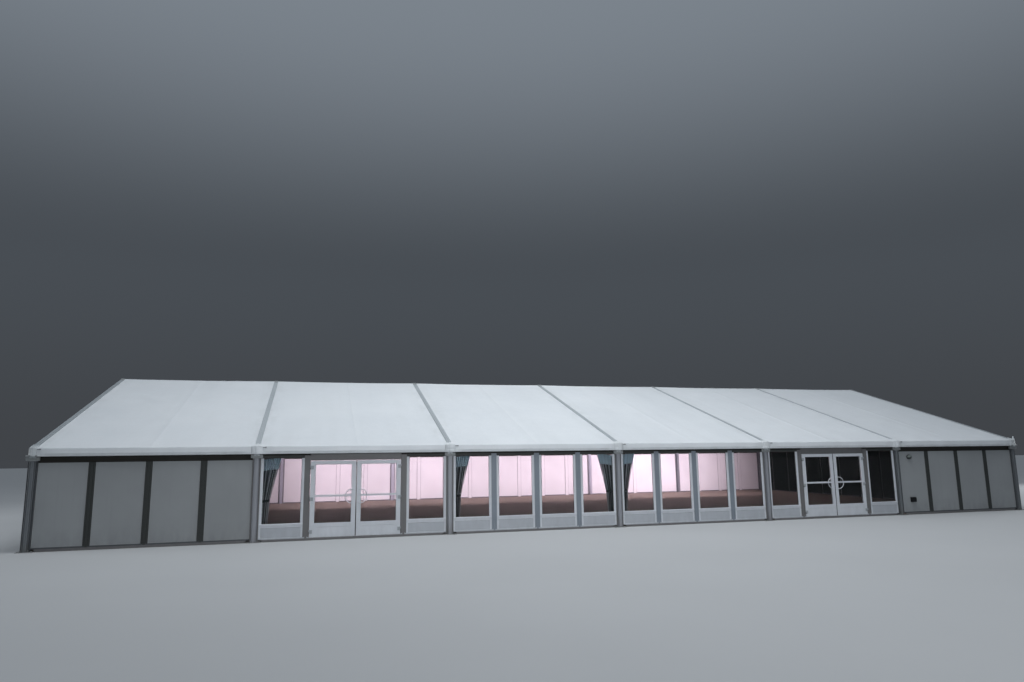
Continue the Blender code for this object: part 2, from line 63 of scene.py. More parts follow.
# Sizes that the boxes of the nodes don't give
LEG_FACE = 7.46
LEG_DEPTH = 0.20
LEG_HALF = 0.065
CHANNEL_HALF = 0.10
CHANNEL_FRONT = 0.009
CHANNEL_DEPTH = 0.09
CAPITAL_HALF = 0.145
CAPITAL_LOW = 2.09
CAPITAL_HIGH = 2.19
CAPITAL_FACE = 7.485
FOOT = (0.18, 0.14, 0.012)
RAFTER_DEPTH = 0.24
RAFTER_DROP = RAFTER_DEPTH / math.cos(PITCH)
GABLE_FACE = 15.05
MODULES = 4
MODULE = BAY / MODULES
MULLION_HALF = 0.075
PANEL_RECESS = 0.02
PANEL_TOP = 2.05
DOOR_TOP = 2.02
HEAD_RECESS = 0.035
WALL_DEPTH = 0.08
SASH_WIDTH = 0.07
SASH_RECESS = 0.010
FRAME_DEPTH = 0.05
SILL_HEIGHT = 0.446
GLASS_TOP = 2.09
DOORWAY_HALF = MODULE - MULLION_HALF
CLOTH = 0.0022
DOOR_BAYS = (2, 5)
WINDOW_BAYS = (3, 4)
CURTAINS = ((2, "left"), (3, "left"), (3, "right"), (4, "left"))
BOTH = (-1, 1)


# Finishes
EVEN = (1.0, 1.0, 1.0)
ALONG_X = (0.02, 1.0, 1.0)
ALONG_Y = (1.0, 0.02, 1.0)
ALONG_Z = (1.0, 1.0, 0.02)


def shaded(colour, factor, lift=0.0):
    return tuple(part * factor + lift for part in colour)


class Finish:
    """A Principled surface that is varied by noise in the piece's own space."""

    def __init__(self, name, colour, roughness, metallic=0.0, slot=None, settings=None):
        self.slot = slot
        self.material = bpy.data.materials.new(name)
        self.material.use_nodes = True
        self.tree = self.material.node_tree
        self.shader = self.tree.nodes["Principled BSDF"]
        self.place = self.add("ShaderNodeTexCoord").outputs["Object"]
        self.colour = (*colour, 1.0)
        self.normal = None
        self.put(self.shader, {"Base Color": self.colour, "Roughness": roughness, "Metallic": metallic})
        self.put(self.shader, settings or {})

    def put(self, node, entries):
        """Give inputs of a node their values, or link them to the outputs given."""
        for key, value in entries.items():
            if isinstance(value, bpy.types.NodeSocket):
                self.tree.links.new(value, node.inputs[key])
            else:
                node.inputs[key].default_value = value

    def add(self, kind, entries=None, **settings):
        node = self.tree.nodes.new(kind)
        for key, value in settings.items():
            setattr(node, key, value)
        self.put(node, entries or {})
        return node

    def noise(self, scale, detail=3.0, stretch=EVEN):
        """Noise from 0 to 1, with its scale in cells per metre along each axis."""
        mapping = self.add("ShaderNodeMapping", {"Scale": [scale * s for s in stretch], "Vector": self.place})
        entries = {"Scale": 1.0, "Detail": detail, "Vector": mapping.outputs["Vector"]}
        return self.add("ShaderNodeTexNoise", entries).outputs["Fac"]

    def ramp(self, value, low, high, start=0.0, end=1.0):
        entries = {"Value": value, "From Min": low, "From Max": high, "To Min": start, "To Max": end}
        return self.add("ShaderNodeMapRange", entries).outputs["Result"]

    def multiply(self, first, second):
        return self.add("ShaderNodeMath", {0: first, 1: second}, operation='MULTIPLY').outputs[0]

    def blot(self, share, colour):
        """Mix another colour in by a share."""
        entries = {"Factor": share, 6: self.colour, 7: (*colour, 1.0)}
        self.colour = self.add("ShaderNodeMix", entries, data_type='RGBA').outputs[2]
        self.put(self.shader, {"Base Color": self.colour})

    def painted(self, layer, share, colour):
        """Mix another colour in where a layer of the mesh says so."""
        amount = self.add("ShaderNodeAttribute", attribute_name=layer).outputs["Fac"]
        self.blot(self.multiply(amount, share), colour)

    def vary(self, scale, colour, share=1.0, stretch=EVEN, low=0.35, high=0.70):
        self.blot(self.ramp(self.noise(scale, 4.0, stretch), low, high, 0.0, share), colour)

    def grime(self, bottom, top, colour, share):
        """Splashed dirt that fades upwards from one height to another."""
        height = self.add("ShaderNodeSeparateXYZ", {0: self.place}).outputs[2]
        splashes = self.ramp(self.noise(7.0, 5.0, (1, 1, 0.4)), 0.3, 0.7)
        self.blot(self.multiply(self.ramp(height, bottom, top, share, 0.0), splashes), colour)

    def rough(self, scale, low, high, stretch=EVEN):
        spread = self.ramp(self.noise(scale, 3.0, stretch), 0.3, 0.7, low, high)
        self.put(self.shader, {"Roughness": spread})

    def relief(self, scale, depth, stretch=EVEN, detail=2.0):
        """Relief with its depth in metres, on top of any that is there already."""
        entries = {"Distance": depth, "Strength": 1.0, "Height": self.noise(scale, detail, stretch)}
        if self.normal is not None:
            entries["Normal"] = self.normal
        self.normal = self.add("ShaderNodeBump", entries).outputs["Normal"]
        self.put(self.shader, {"Normal": self.normal})


def roof_finish(name, colour, grime):
    """White coated cloth: broad tone changes, rain streaks, welded strips and a fine weave. The streaked
    colour that a mesh layer lets in is dirt together with painted shade beside the rafters and along the hem.
    """
    made = Finish(name, colour, 0.42, slot="roof_cloth", settings={"Sheen Weight": 0.08})
    made.vary(0.45, (0.66, 0.70, 0.74), 0.30)
    made.vary(2.2, (0.58, 0.60, 0.61), grime, (1.0, 0.08, 0.08), 0.48, 0.80)
    made.vary(14.0, (0.62, 0.63, 0.62), 0.10)
    made.painted("weld", 0.14, (0.66, 0.69, 0.71))
    streaks = made.ramp(made.noise(5.0, 4.0, (1.0, 0.3, 0.3)), 0.40, 0.72)
    made.painted("stain_and_painted_shade", streaks, (0.50, 0.52, 0.52))
    made.rough(3.0, 0.34, 0.52)
    made.relief(2.6, 0.010, (1.0, 0.7, 0.7))
    made.relief(420.0, 0.0004, detail=0.0)
    return made


def metal_finish(name, colour, low, high, stretch, metallic):
    """Aluminium: drawn lines along its length, dull patches and a little dirt at the ground."""
    made = Finish(name, colour, low, metallic, slot="aluminium")
    made.vary(30.0, shaded(colour, 0.72), 0.45, stretch)
    made.vary(3.0, shaded(colour, 0.80, 0.05), 0.4)
    made.grime(0.0, 0.35, (0.17, 0.16, 0.14), 0.7)
    made.rough(24.0, low, high, stretch)
    made.relief(260.0, 0.0003, stretch)
    return made


def paint_finish(name, colour, dirt, roughness=(0.34, 0.50), shine=0.5, slot="aluminium"):
    """Powder coat: slight orange peel, worn chalky patches and splashes low down."""
    made = Finish(name, colour, roughness[0], slot=slot, settings={"Specular IOR Level": shine})
    made.vary(1.1, shaded(colour, 0.90), 0.7)
    made.vary(9.0, shaded(colour, 0.82), 0.35, (1.0, 1.0, 0.25), 0.5, 0.8)
    made.grime(0.05, 0.55, shaded(colour, 0.55, 0.03), dirt)
    made.rough(6.0, *roughness)
    made.relief(180.0, 0.0004)
    return made


def panel_finish(name, colour, wear, shine=0.35):
    """Wall panel with an embossed skin, faint runs from the head and dust low down."""
    made = Finish(name, colour, 0.5, slot="white_panel", settings={"Specular IOR Level": shine})
    made.vary(0.8, shaded(colour, 0.88), 0.8)
    made.vary(11.0, shaded(colour, 0.80), 0.25 * wear, (1.0, 1.0, 0.06), 0.55, 0.8)
    made.grime(0.05, 0.55, shaded(colour, 0.60), 0.5 * wear)
    made.rough(5.0, 0.42, 0.58)
    made.relief(2.0, 0.006)
    made.relief(95.0, 0.0012, detail=1.0)
    return made


def glass_finish():
    """Clear glass with a slight waviness."""
    made = Finish("window_glass", (0.90, 0.935, 0.93), 0.02, slot="glass",
                  settings={"Transmission Weight": 1.0, "IOR": 1.25})
    made.vary(1.5, (0.84, 0.89, 0.89), 0.6)
    made.rough(4.0, 0.0, 0.05)
    made.relief(1.2, 0.0010)
    return made


def voile_finish(name, colour, alpha, pleat_shading_colour=None):
    """Thin pleated cloth with an open weave. A second colour, in stripes down the cloth, is painted light and
    shade on its pleats.
    """
    made = Finish(name, colour, 0.85, slot="voile", settings={"Alpha": alpha, "Sheen Weight": 0.25})
    made.vary(5.0, shaded(colour, 0.78), 0.7, (1.0, 1.0, 0.2))
    made.vary(90.0, shaded(colour, 0.88), 0.6)
    if pleat_shading_colour:
        made.painted("painted_pleat_shading", 0.85, pleat_shading_colour)
    made.rough(20.0, 0.78, 0.92)
    made.relief(600.0, 0.0004, detail=0.0)
    return made


def floor_finish():
    """Brown matting in strips on a boarded floor."""
    made = Finish("floor_matting", (0.20, 0.155, 0.115), 0.8, slot="floor_board")
    made.vary(1.2, (0.145, 0.11, 0.085), 0.9)
    made.vary(220.0, (0.29, 0.24, 0.19), 0.7)
    sizes = {"Scale": 1.0, "Brick Width": 5.0, "Row Height": 1.0, "Mortar Size": 0.006}
    strips = made.add("ShaderNodeTexBrick", {**sizes, "Vector": made.place}, offset=0.5)
    made.blot(made.multiply(strips.outputs["Fac"], 0.8), (0.05, 0.04, 0.03))
    made.rough(30.0, 0.68, 0.92)
    made.relief(380.0, 0.0030)
    return made


ROOF = roof_finish("roof_cloth", (0.80, 0.83, 0.86), 0.16)
HOOD = roof_finish("hood_cloth", (0.76, 0.79, 0.82), 0.30)
# The hood cloth darkened as painted shade for the hoods of the end frames and the left eave cheek; its larger
# grime share is dirt.
SHADED_END_HOOD = roof_finish("end_hood_cloth_painted_shade", (0.46, 0.49, 0.51), 0.45)
LEG_METAL = metal_finish("leg_aluminium", (0.36, 0.37, 0.405), 0.42, 0.58, ALONG_Z, 0.30)
# Darker copy of the leg aluminium: painted shade for the legs of frames 1, 6 and 7.
SHADED_LEG_METAL = metal_finish("leg_aluminium_painted_shade", (0.20, 0.215, 0.23), 0.45, 0.60, ALONG_Z, 0.30)
RAFTER_METAL = metal_finish("rafter_aluminium", (0.535, 0.575, 0.605), 0.42, 0.58, ALONG_Y, 0.25)
# Darker copy of the rafter aluminium: painted shade for the rafters of the two end frames.
SHADED_END_RAFTER = metal_finish("end_rafter_aluminium_painted_shade", (0.44, 0.475, 0.50), 0.42, 0.58, ALONG_Y, 0.25)
PURLIN_METAL = metal_finish("purlin_aluminium", (0.50, 0.51, 0.53), 0.40, 0.56, ALONG_X, 0.4)
CAST_METAL = metal_finish("cast_aluminium", (0.33, 0.345, 0.35), 0.48, 0.66, EVEN, 0.30)
# Dark paint darkened to near black as painted shade under the eave band, for the head rails.
HEAD_SHADE_PAINT = paint_finish("head_rail_painted_shade", (0.030, 0.028, 0.025), 0.2, (0.5, 0.7), 0.25)
DARK_PAINT = paint_finish("dark_grey", (0.046, 0.050, 0.048), 0.35, (0.42, 0.6), 0.35)
MID_PAINT = paint_finish("mid_grey", (0.185, 0.182, 0.185), 0.40)
MULLION_PAINT = paint_finish("mullion_blue_grey", (0.255, 0.29, 0.335), 0.35)
CHANNEL_PAINT = paint_finish("channel_grey", (0.085, 0.092, 0.10), 0.30, (0.42, 0.6), 0.35)
TRIM_PAINT = paint_finish("trim_grey", (0.36, 0.37, 0.38), 0.45)
HINGE_PAINT = paint_finish("hinge_grey", (0.40, 0.43, 0.46), 0.40)
FRAME_PAINT = paint_finish("frame_white", (0.70, 0.725, 0.77), 0.35, slot="white_frame")
# The white frame paint darkened as painted shade, for the low panels and base rails under the windows.
SHADED_LOW_PAINT = paint_finish("low_panel_white_painted_shade", (0.51, 0.535, 0.575), 0.35, slot="white_frame")
# Outer skin of the panels darkened to mid grey as painted shade; the inner skin keeps a lighter colour.
SHADED_PANEL_SKIN = panel_finish("panel_outer_skin_painted_shade", (0.345, 0.36, 0.37), 1.0)
INNER_SKIN = panel_finish("panel_inner_skin", (0.66, 0.66, 0.65), 0.2)
# Inner skin of the gable panels in near black as painted shade for the unlit ends of the inside.
SHADE_LINING = panel_finish("gable_lining_painted_shade", (0.014, 0.022, 0.019), 0.2, 0.04)
GLASS = glass_finish()
# The voile in near black as painted shade: pale cloth that is lit only from behind; its lighter stripes are
# painted highlights on the pleats.
SHADED_VOILE = voile_finish("voile", (0.030, 0.038, 0.042), 0.95, (0.80, 0.80, 0.88))
# The heading's own pale colour, lightened and tinted blue as a painted sky reflection; its darker stripes are
# painted shade on the pleats.
HEADING = voile_finish("voile_heading", (0.72, 0.83, 0.93), 0.97, (0.55, 0.62, 0.70))
# Near-white hem: painted light, the glow of the curtain's edge lit from behind.
GLOWING_HEM = voile_finish("voile_hem_painted_glow", (0.88, 0.84, 0.88), 0.55)
MATTING = floor_finish()
RUBBER = paint_finish("rubber", (0.022, 0.022, 0.024), 0.35, (0.55, 0.75), 0.3, slot="black_plastic")
WEBBING = paint_finish("webbing", (0.30, 0.31, 0.33), 0.35, (0.6, 0.8), 0.3, slot="black_plastic")
LAMP = paint_finish("lamp_opal", (0.165, 0.19, 0.18), 0.0, (0.22, 0.34), slot="lamp_white")
# The cover's lower half in dark grey: painted shade on the underside of the lamp.
SHADED_LOWER_COVER = paint_finish("lamp_lower_half_painted_shade", (0.06, 0.07, 0.068), 0.0, (0.22, 0.34), slot="lamp_white")
BLACK = paint_finish("moulded_black", (0.006, 0.007, 0.009), 0.2, (0.45, 0.60), 0.25, slot="black_plastic")


# Making meshes
def linked(name, data):
    """A new object in the scene that shows a mesh, a light or a camera."""
    made = bpy.data.objects.new(name, data)
    bpy.context.scene.collection.objects.link(made)
    return made


def circle(centre, first, second, radius, sides):
    """Points round a centre, in the plane of two unit vectors."""
    angles = [2 * math.pi * side / sides for side in range(sides)]
    return [centre + (first * math.cos(a) + second * math.sin(a)) * radius for a in angles]


class Shape:
    """Collects closed solids in one mesh."""

    def __init__(self):
        self.mesh = bmesh.new()

    def box(self, first, second):
        """A box between two opposite corners, in either order."""
        size = [abs(b - a) for a, b in zip(first, second)]
        centre = [(a + b) / 2 for a, b in zip(first, second)]
        matrix = Matrix.Translation(centre) @ Matrix.Diagonal((*size, 1.0))
        bmesh.ops.create_cube(self.mesh, size=1.0, matrix=matrix)
        return self

    def skin(self, rows, joined):
        """Quads between rows of vertices. Joined rows also close from their ends to their starts."""
        for first, second in zip(rows, rows[1:]):
            for index in range(len(first) if joined else len(first) - 1):
                after = (index + 1) % len(first)
                self.mesh.faces.new((first[index], first[after], second[after], second[index]))

    def loops(self, rings, closed=False):
        """Skin rings of points. A closed row goes round to its first ring, any other gets two end faces."""
        rows = [[self.mesh.verts.new(point) for point in ring] for ring in rings]
        self.skin(rows + rows[:1] if closed else rows, True)
        if not closed:
            self.mesh.faces.new(rows[0])
            self.mesh.faces.new(rows[-1])
        return self

    def prism(self, outline, axis, start, end):
        """Extrude an outline of the other two coordinates along an axis."""
        return self.loops([[(*p[:axis], place, *p[axis:]) for p in outline] for place in (start, end)])

    def sweep(self, corners, section, closed):
        """Carry a section of offset and depth from corner to corner of an opening."""
        rings = [[(x + sx * offset, depth, z + sz * offset) for offset, depth in section]
                 for x, z, sx, sz in corners]
        return self.loops(rings, closed)

    def ring(self, x0, x1, z0, z1, section):
        """Sweep a section round a rectangular opening, with mitred corners."""
        corners = ((x0, z0, -1, -1), (x1, z0, 1, -1), (x1, z1, 1, 1), (x0, z1, -1, 1))
        return self.sweep(corners, section, True)

    def trough(self, x0, x1, z0, z1, section):
        """The same down one side of an opening, along its bottom and up the other side."""
        corners = ((x0, z1, -1, 0), (x0, z0, -1, -1), (x1, z0, 1, -1), (x1, z1, 1, 0))
        return self.sweep(corners, section, False)

    def tube(self, path, radius, sides):
        points = [Vector(point) for point in path]
        runs = [(after - before).normalized() for before, after in zip(points, points[1:])]
        normal = runs[0].orthogonal().normalized()
        rings = []
        for point, before, after in zip(points, runs[:1] + runs, runs + runs[-1:]):
            along = (before + after).normalized()
            normal = (normal - along * normal.dot(along)).normalized()
            rings.append(circle(point, normal, along.cross(normal), radius, sides))
        return self.loops(rings)

    def turned(self, profile, origin, axis, sides):
        """Rings about an axis, from a profile of radius and distance along it."""
        along = Vector(axis).normalized()
        first = along.orthogonal().normalized()
        second = along.cross(first)
        origin = Vector(origin)
        return self.loops([circle(origin + along * distance, first, second, radius, sides)
                           for radius, distance in profile])

    def bolt(self, place, axis, size=0.011):
        """A washer and a hexagon head standing out along an axis."""
        self.turned([(size * 1.5, -0.001), (size * 1.5, 0.002)], place, axis, 16)
        self.turned([(size, 0.002), (size, size), (size * 0.85, size * 1.15)], place, axis, 6)

    def to_scene(self, name, finish):
        """The shape as an object of the scene."""
        bmesh.ops.recalc_face_normals(self.mesh, faces=self.mesh.faces)
        mesh = bpy.data.meshes.new(name)
        self.mesh.to_mesh(mesh)
        self.mesh.free()
        mesh.materials.append(finish.material)
        return linked(name, mesh)


def piece(name, shape, finish, body="tent", stands_for=(), place=None, bevel=0.0, smooth=False):
    """Put a shape in the scene as a named piece that rides on a body."""
    if place is not None:
        shape.mesh.transform(place)
    made = shape.to_scene(name, finish)
    if smooth:
        made.data.shade_smooth()
        made.data.set_sharp_from_angle(angle=math.radians(38))
    if bevel:
        edge = made.modifiers.new("edge", 'BEVEL')
        edge.width = bevel
        edge.segments = 2
        edge.limit_method = 'ANGLE'
        edge.angle_limit = math.radians(50)
    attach(made, body)
    if stands_for:
        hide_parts(*stands_for)
    return made


def cloth_piece(name, rows, layers, finish, stands_for=(), thickness=CLOTH, offset=0.0):
    """A sheet through rows of vertices, each a point followed by its values on the named layers."""
    shape = Shape()
    keys = [shape.mesh.verts.layers.float.new(layer) for layer in layers]
    grid = []
    for row in rows:
        made = []
        for point, *values in row:
            vert = shape.mesh.verts.new(point)
            for key, value in zip(keys, values):
                vert[key] = value
            made.append(vert)
        grid.append(made)
    shape.skin(grid, False)
    made = piece(name, shape, finish, stands_for=stands_for, smooth=True)
    thick = made.modifiers.new("thickness", 'SOLIDIFY')
    thick.thickness = thickness
    thick.offset = offset
    return made


def mirrored(half):
    """A closed outline from its right half, given from front to back."""
    return list(half) + [(-x, y) for x, y in reversed(half)]


class Wall:
    """A wall that is built facing -Y about its own middle, and put on its side of the building."""

    def __init__(self, name, side, middle):
        turn, x, y = {"front": (0, middle, -WALL_FACE), "back": (180, middle, WALL_FACE),
                      "right": (90, GABLE_FACE, middle), "left": (-90, -GABLE_FACE, middle)}[side]
        self.name = name
        self.place = Matrix.Translation((x, y, 0.0)) @ Matrix.Rotation(math.radians(turn), 4, 'Z')

    def add(self, part, shape, finish, stands_for=(), bevel=0.0):
        piece(self.name + part, shape, finish, stands_for=stands_for, place=self.place, bevel=bevel)

    def rail(self, part, outline, low, high, finish):
        """A rail along the wall between two of its places."""
        self.add(part, Shape().prism(outline, 0, low, high), finish)

    def mullions(self, lines, section, top, finish):
        shape = Shape()
        for line in lines:
            shape.prism([(line + x, y) for x, y in mirrored(section)], 2, WALL_BASE, top)
        self.add("_mullions", shape, finish)


def bay_middle(bay):
    return (FRAMES[bay - 1] + FRAMES[bay]) / 2


def rafter_top(y):
    return FRAME_TOP - abs(y) * math.tan(PITCH)


# Portal frames
LEG_HALF_OUTLINE = [
    (0.004, 0.003), (0.006, 0.000), (0.035, 0.000), (0.038, 0.003), (0.038, 0.022), (0.059, 0.022),
    (0.059, 0.004), (0.062, 0.001), (0.065, 0.004), (0.065, 0.062), (0.053, 0.062), (0.053, 0.078),
    (0.065, 0.078), (0.065, 0.122), (0.053, 0.122), (0.053, 0.138), (0.065, 0.138), (0.065, 0.197),
    (0.062, 0.200), (0.038, 0.200), (0.038, 0.188), (0.022, 0.188), (0.022, 0.200),
]
RAFTER_HALF_OUTLINE = [
    (0.007, 0.014), (0.007, 0.002), (0.009, 0.000), (0.043, 0.000), (0.046, 0.003), (0.046, 0.016),
    (0.060, 0.016), (0.060, 0.006), (0.065, 0.006), (0.065, 0.060), (0.053, 0.060), (0.053, 0.078),
    (0.065, 0.078), (0.065, 0.165), (0.053, 0.165), (0.053, 0.183), (0.065, 0.183), (0.065, 0.237),
    (0.062, 0.240), (0.020, 0.240), (0.020, 0.228),
]
KNEE_BOLTS = ((0.05, 0.10), (0.15, 0.10), (0.05, 0.22), (0.15, 0.22))
RIDGE_BOLTS = (-0.30, -0.12, 0.12, 0.30)
FRAME_BOLT = 0.012
END_SIDE = {1: -1, 7: 1}
# Frames whose legs and wall channels get darker finishes as painted shade.
SHADED_FRAMES = (1, 6, 7)
PLATE_SECTION = [(-0.058, -0.001), (-0.050, 0.008), (0.050, 0.008), (0.058, -0.001)]
PLATE_REACH = 0.20
GROUND_PIN = [(0.017, -0.002), (0.017, 0.008), (0.013, 0.014)]
CROSS_PIN = 0.105
PIN_HEIGHT = 0.036
CHEEK_HALF = 0.085
CHEEK_TOP = 0.055
FACING = {-1: "front", 1: "back"}
BAR_REACH = 0.135
BAR_OUT = 0.034
CHEEK_OUTLINE = [(7.508, 2.20), (7.508, 2.41), (7.44, 2.435), (7.25, 2.495), (7.25, 2.20)]
LIPPED_CHEEK = [(7.508, 2.20), (7.508, 2.42), (7.470, 2.530), (7.448, 2.535), (7.42, 2.445), (7.25, 2.495),
                (7.25, 2.20)]


def legs(n, x):
    """Both legs of a frame, grooved on every face, cut off under the rafter."""
    shape = Shape()
    for side in BOTH:
        plan = [(x + across, side * (LEG_FACE - depth)) for across, depth in mirrored(LEG_HALF_OUTLINE)]
        foot = [(across, y, FOOT[2]) for across, y in plan]
        shape.loops([foot, [(across, y, rafter_top(y) - RAFTER_DROP) for across, y in plan]])
    # Legs of the shaded frames take the darker aluminium as painted shade.
    finish = SHADED_LEG_METAL if n in SHADED_FRAMES else LEG_METAL
    piece(f"frame_{n}_legs", shape, finish, stands_for=[f"portal_frame_{n}"])


def rafters(n, x):
    """Both rafters in one run over the ridge."""
    section = [(x + across, depth / math.cos(PITCH)) for across, depth in mirrored(RAFTER_HALF_OUTLINE)]
    rings = [[(across, y, rafter_top(y) - drop) for across, drop in section] for y in (-EAVE_Y, 0.0, EAVE_Y)]
    # The end frames' rafters take the darker copy as painted shade.
    piece(f"frame_{n}_rafters", Shape().loops(rings), SHADED_END_RAFTER if n in END_SIDE else RAFTER_METAL)


def wall_channels(n, x):
    """The U rails beside each leg that hold the walls, with their black gaskets."""
    rails = Shape()
    gaskets = Shape()
    for side in BOTH:
        outer = side * (WALL_FACE + CHANNEL_FRONT)
        for sign in BOTH:
            near = x + sign * (LEG_HALF + 0.005)
            far = x + sign * CHANNEL_HALF
            lip = x + sign * (CHANNEL_HALF - 0.008)
            rails.box((near, outer, FOOT[2]), (far, outer - side * CHANNEL_DEPTH, BAND_BOTTOM))
            rails.box((lip, outer, FOOT[2]), (far, outer + side * 0.007, CAPITAL_LOW))
            gaskets.box((x + sign * (LEG_HALF - 0.002), outer - side * 0.012, FOOT[2]),
                        (near, outer - side * 0.06, BAND_BOTTOM))
    # Channels of the shaded frames take the darker channel grey as painted shade.
    piece(f"frame_{n}_wall_channels", rails, CHANNEL_PAINT if n in SHADED_FRAMES else MID_PAINT, bevel=0.0015)
    piece(f"frame_{n}_channel_gaskets", gaskets, RUBBER)


def capitals(n, x):
    """The clamp block at the head of each leg, its bolts and, at the ends, a bar for the band."""
    blocks = Shape()
    bolts = Shape()
    outward = END_SIDE.get(n)
    for side in BOTH:
        front = side * CAPITAL_FACE
        back = side * (WALL_FACE + 0.005)
        blocks.box((x - CAPITAL_HALF, front, CAPITAL_LOW + 0.012), (x + CAPITAL_HALF, back, CAPITAL_HIGH))
        blocks.box((x - CHANNEL_HALF, front - side * 0.012, CAPITAL_LOW),
                   (x + CHANNEL_HALF, back, CAPITAL_LOW + 0.02))
        for sign in BOTH:
            place = (x + sign * CHANNEL_HALF, front, (CAPITAL_LOW + CAPITAL_HIGH) / 2 + 0.006)
            bolts.bolt(place, (0, side, 0))
        if outward:
            bar = side * (EAVE_Y + BAR_OUT)
            blocks.box((x - outward * CHANNEL_HALF, bar, BAND_BOTTOM - 0.006),
                       (x + outward * BAR_REACH, side * (EAVE_Y - 0.010), BAND_BOTTOM + 0.036))
            bolts.bolt((x + outward * 0.05, bar, BAND_BOTTOM + 0.015), (0, side, 0))
    piece(f"frame_{n}_capitals", blocks, CAST_METAL, bevel=0.006)
    knees = [(side, face, back, drop) for side in BOTH for face in BOTH for back, drop in KNEE_BOLTS]
    spots = [(face, side * (LEG_FACE - back), EAVE_Z - drop - 0.02) for side, face, back, drop in knees]
    spots += [(face, y, rafter_top(y) - 0.15) for face in BOTH for y in RIDGE_BOLTS]
    for face, y, z in spots:
        bolts.bolt((x + face * LEG_HALF, y, z), (face, 0, 0), FRAME_BOLT)
    piece(f"frame_{n}_bolts", bolts, CAST_METAL, smooth=True)


def ridge_plate(n, x):
    """The folded cover over the joint of the two rafters."""
    rings = [[(x + across, y, rafter_top(y) + rise) for across, rise in PLATE_SECTION]
             for y in (-PLATE_REACH, 0.0, PLATE_REACH)]
    piece(f"frame_{n}_ridge_plate", Shape().loops(rings), CAST_METAL, bevel=0.0015)


def end_cheek(n, x):
    """The pale plate that closes the eave on the outer side of each end frame."""
    outward = END_SIDE[n]
    shape = Shape()
    for side in BOTH:
        outline = [(side * y, z) for y, z in (LIPPED_CHEEK if outward > 0 else CHEEK_OUTLINE)]
        shape.prism(outline, 0, x + outward * (LEG_HALF + 0.001), x + outward * (LEG_HALF + 0.013))
    # The left cheek takes the darkened hood cloth as painted shade.
    piece(f"frame_{n}_eave_cheeks", shape, SHADED_END_HOOD if outward < 0 else HOOD, bevel=0.003)


def feet(n, x):
    """A base plate under each leg with two cheeks, a cross pin and four ground pins."""
    plates = Shape()
    pins = Shape()
    for side in BOTH:
        y = side * (LEG_FACE - LEG_DEPTH / 2)
        plates.box((x - FOOT[0], y - FOOT[1], 0.0), (x + FOOT[0], y + FOOT[1], FOOT[2]))
        for sign in BOTH:
            plates.box((x + sign * (LEG_HALF + 0.003), y - CHEEK_HALF, FOOT[2]),
                       (x + sign * (LEG_HALF + 0.015), y + CHEEK_HALF, CHEEK_TOP))
        pins.tube([(x - CROSS_PIN, y, PIN_HEIGHT), (x + CROSS_PIN, y, PIN_HEIGHT)], 0.009, 12)
        for sx in BOTH:
            for sy in BOTH:
                place = (x + sx * (FOOT[0] - 0.035), y + sy * (FOOT[1] - 0.030), FOOT[2])
                pins.turned(GROUND_PIN, place, (0, 0, 1), 14)
    piece(f"frame_{n}_feet", plates, CAST_METAL, bevel=0.002)
    piece(f"frame_{n}_ground_pins", pins, CAST_METAL, smooth=True)


# Roof cloth
FOLD_RADIUS = 0.014
WELD_HALF = 0.025
POCKET_TOP = 0.07
BAND_SWELL = 0.014
HEM_DRAW = 0.021
CORNER_REACH = 0.35
# Height above the band's hem in which the cloth is darkened as painted shade, with dirt.
HEM_SHADE_AND_STAIN = 0.11
WELD_RISE = 0.0009
CLOTH_LAYERS = ("weld", "stain_and_painted_shade")


def section_line(band_steps=16, slope_steps=46):
    """The sheet's section from the hem to the ridge: distance out, height, and outward normal."""
    top = EAVE_Z - FOLD_RADIUS
    line = [(EAVE_Y, BAND_BOTTOM + (top - BAND_BOTTOM) * step / band_steps, 1.0, 0.0)
            for step in range(band_steps + 1)]
    for step in range(1, 5):
        angle = step / 4 * (math.pi / 2 - PITCH)
        line.append((EAVE_Y - FOLD_RADIUS * (1 - math.cos(angle)), top + FOLD_RADIUS * math.sin(angle),
                     math.cos(angle), math.sin(angle)))
    start = Vector(line[-1][:2])
    end = Vector((0.0, RIDGE_Z))
    for step in range(1, slope_steps + 1):
        share = step / slope_steps
        point = start.lerp(end, share - 0.04 * math.sin(2 * math.pi * share))
        line.append((point.x, point.y, math.sin(PITCH), math.cos(PITCH)))
    line[-1] = (0.0, RIDGE_Z, 0.0, 1.0)
    return line


def band_out(bay, x, here, height):
    """How far the band at the eave stands out: waves, a swell, and below it the drawn-in hem."""
    down = (EAVE_Z - height) / (EAVE_Z - BAND_BOTTOM)
    wave = 0.006 * noise.noise(Vector((x * 2.4 + bay * 3.1, 0.3, 0.0))) + 0.003 * noise.noise(here * 7)
    roll = 0.006 * math.exp(-((height - BAND_BOTTOM - 0.014) / 0.011) ** 2)
    pocket = max(0.0, 1 - (height - BAND_BOTTOM) / POCKET_TOP)
    seam = 0.0016 if pocket > 0 else 0.0
    swell = BAND_SWELL * min(1.0, (EAVE_Z - height) / (EAVE_Z - BAND_BOTTOM - POCKET_TOP)) - HEM_DRAW * pocket
    return wave * down + roll + seam + swell * min(1.0, (SHEET_HALF - abs(x)) / CORNER_REACH)


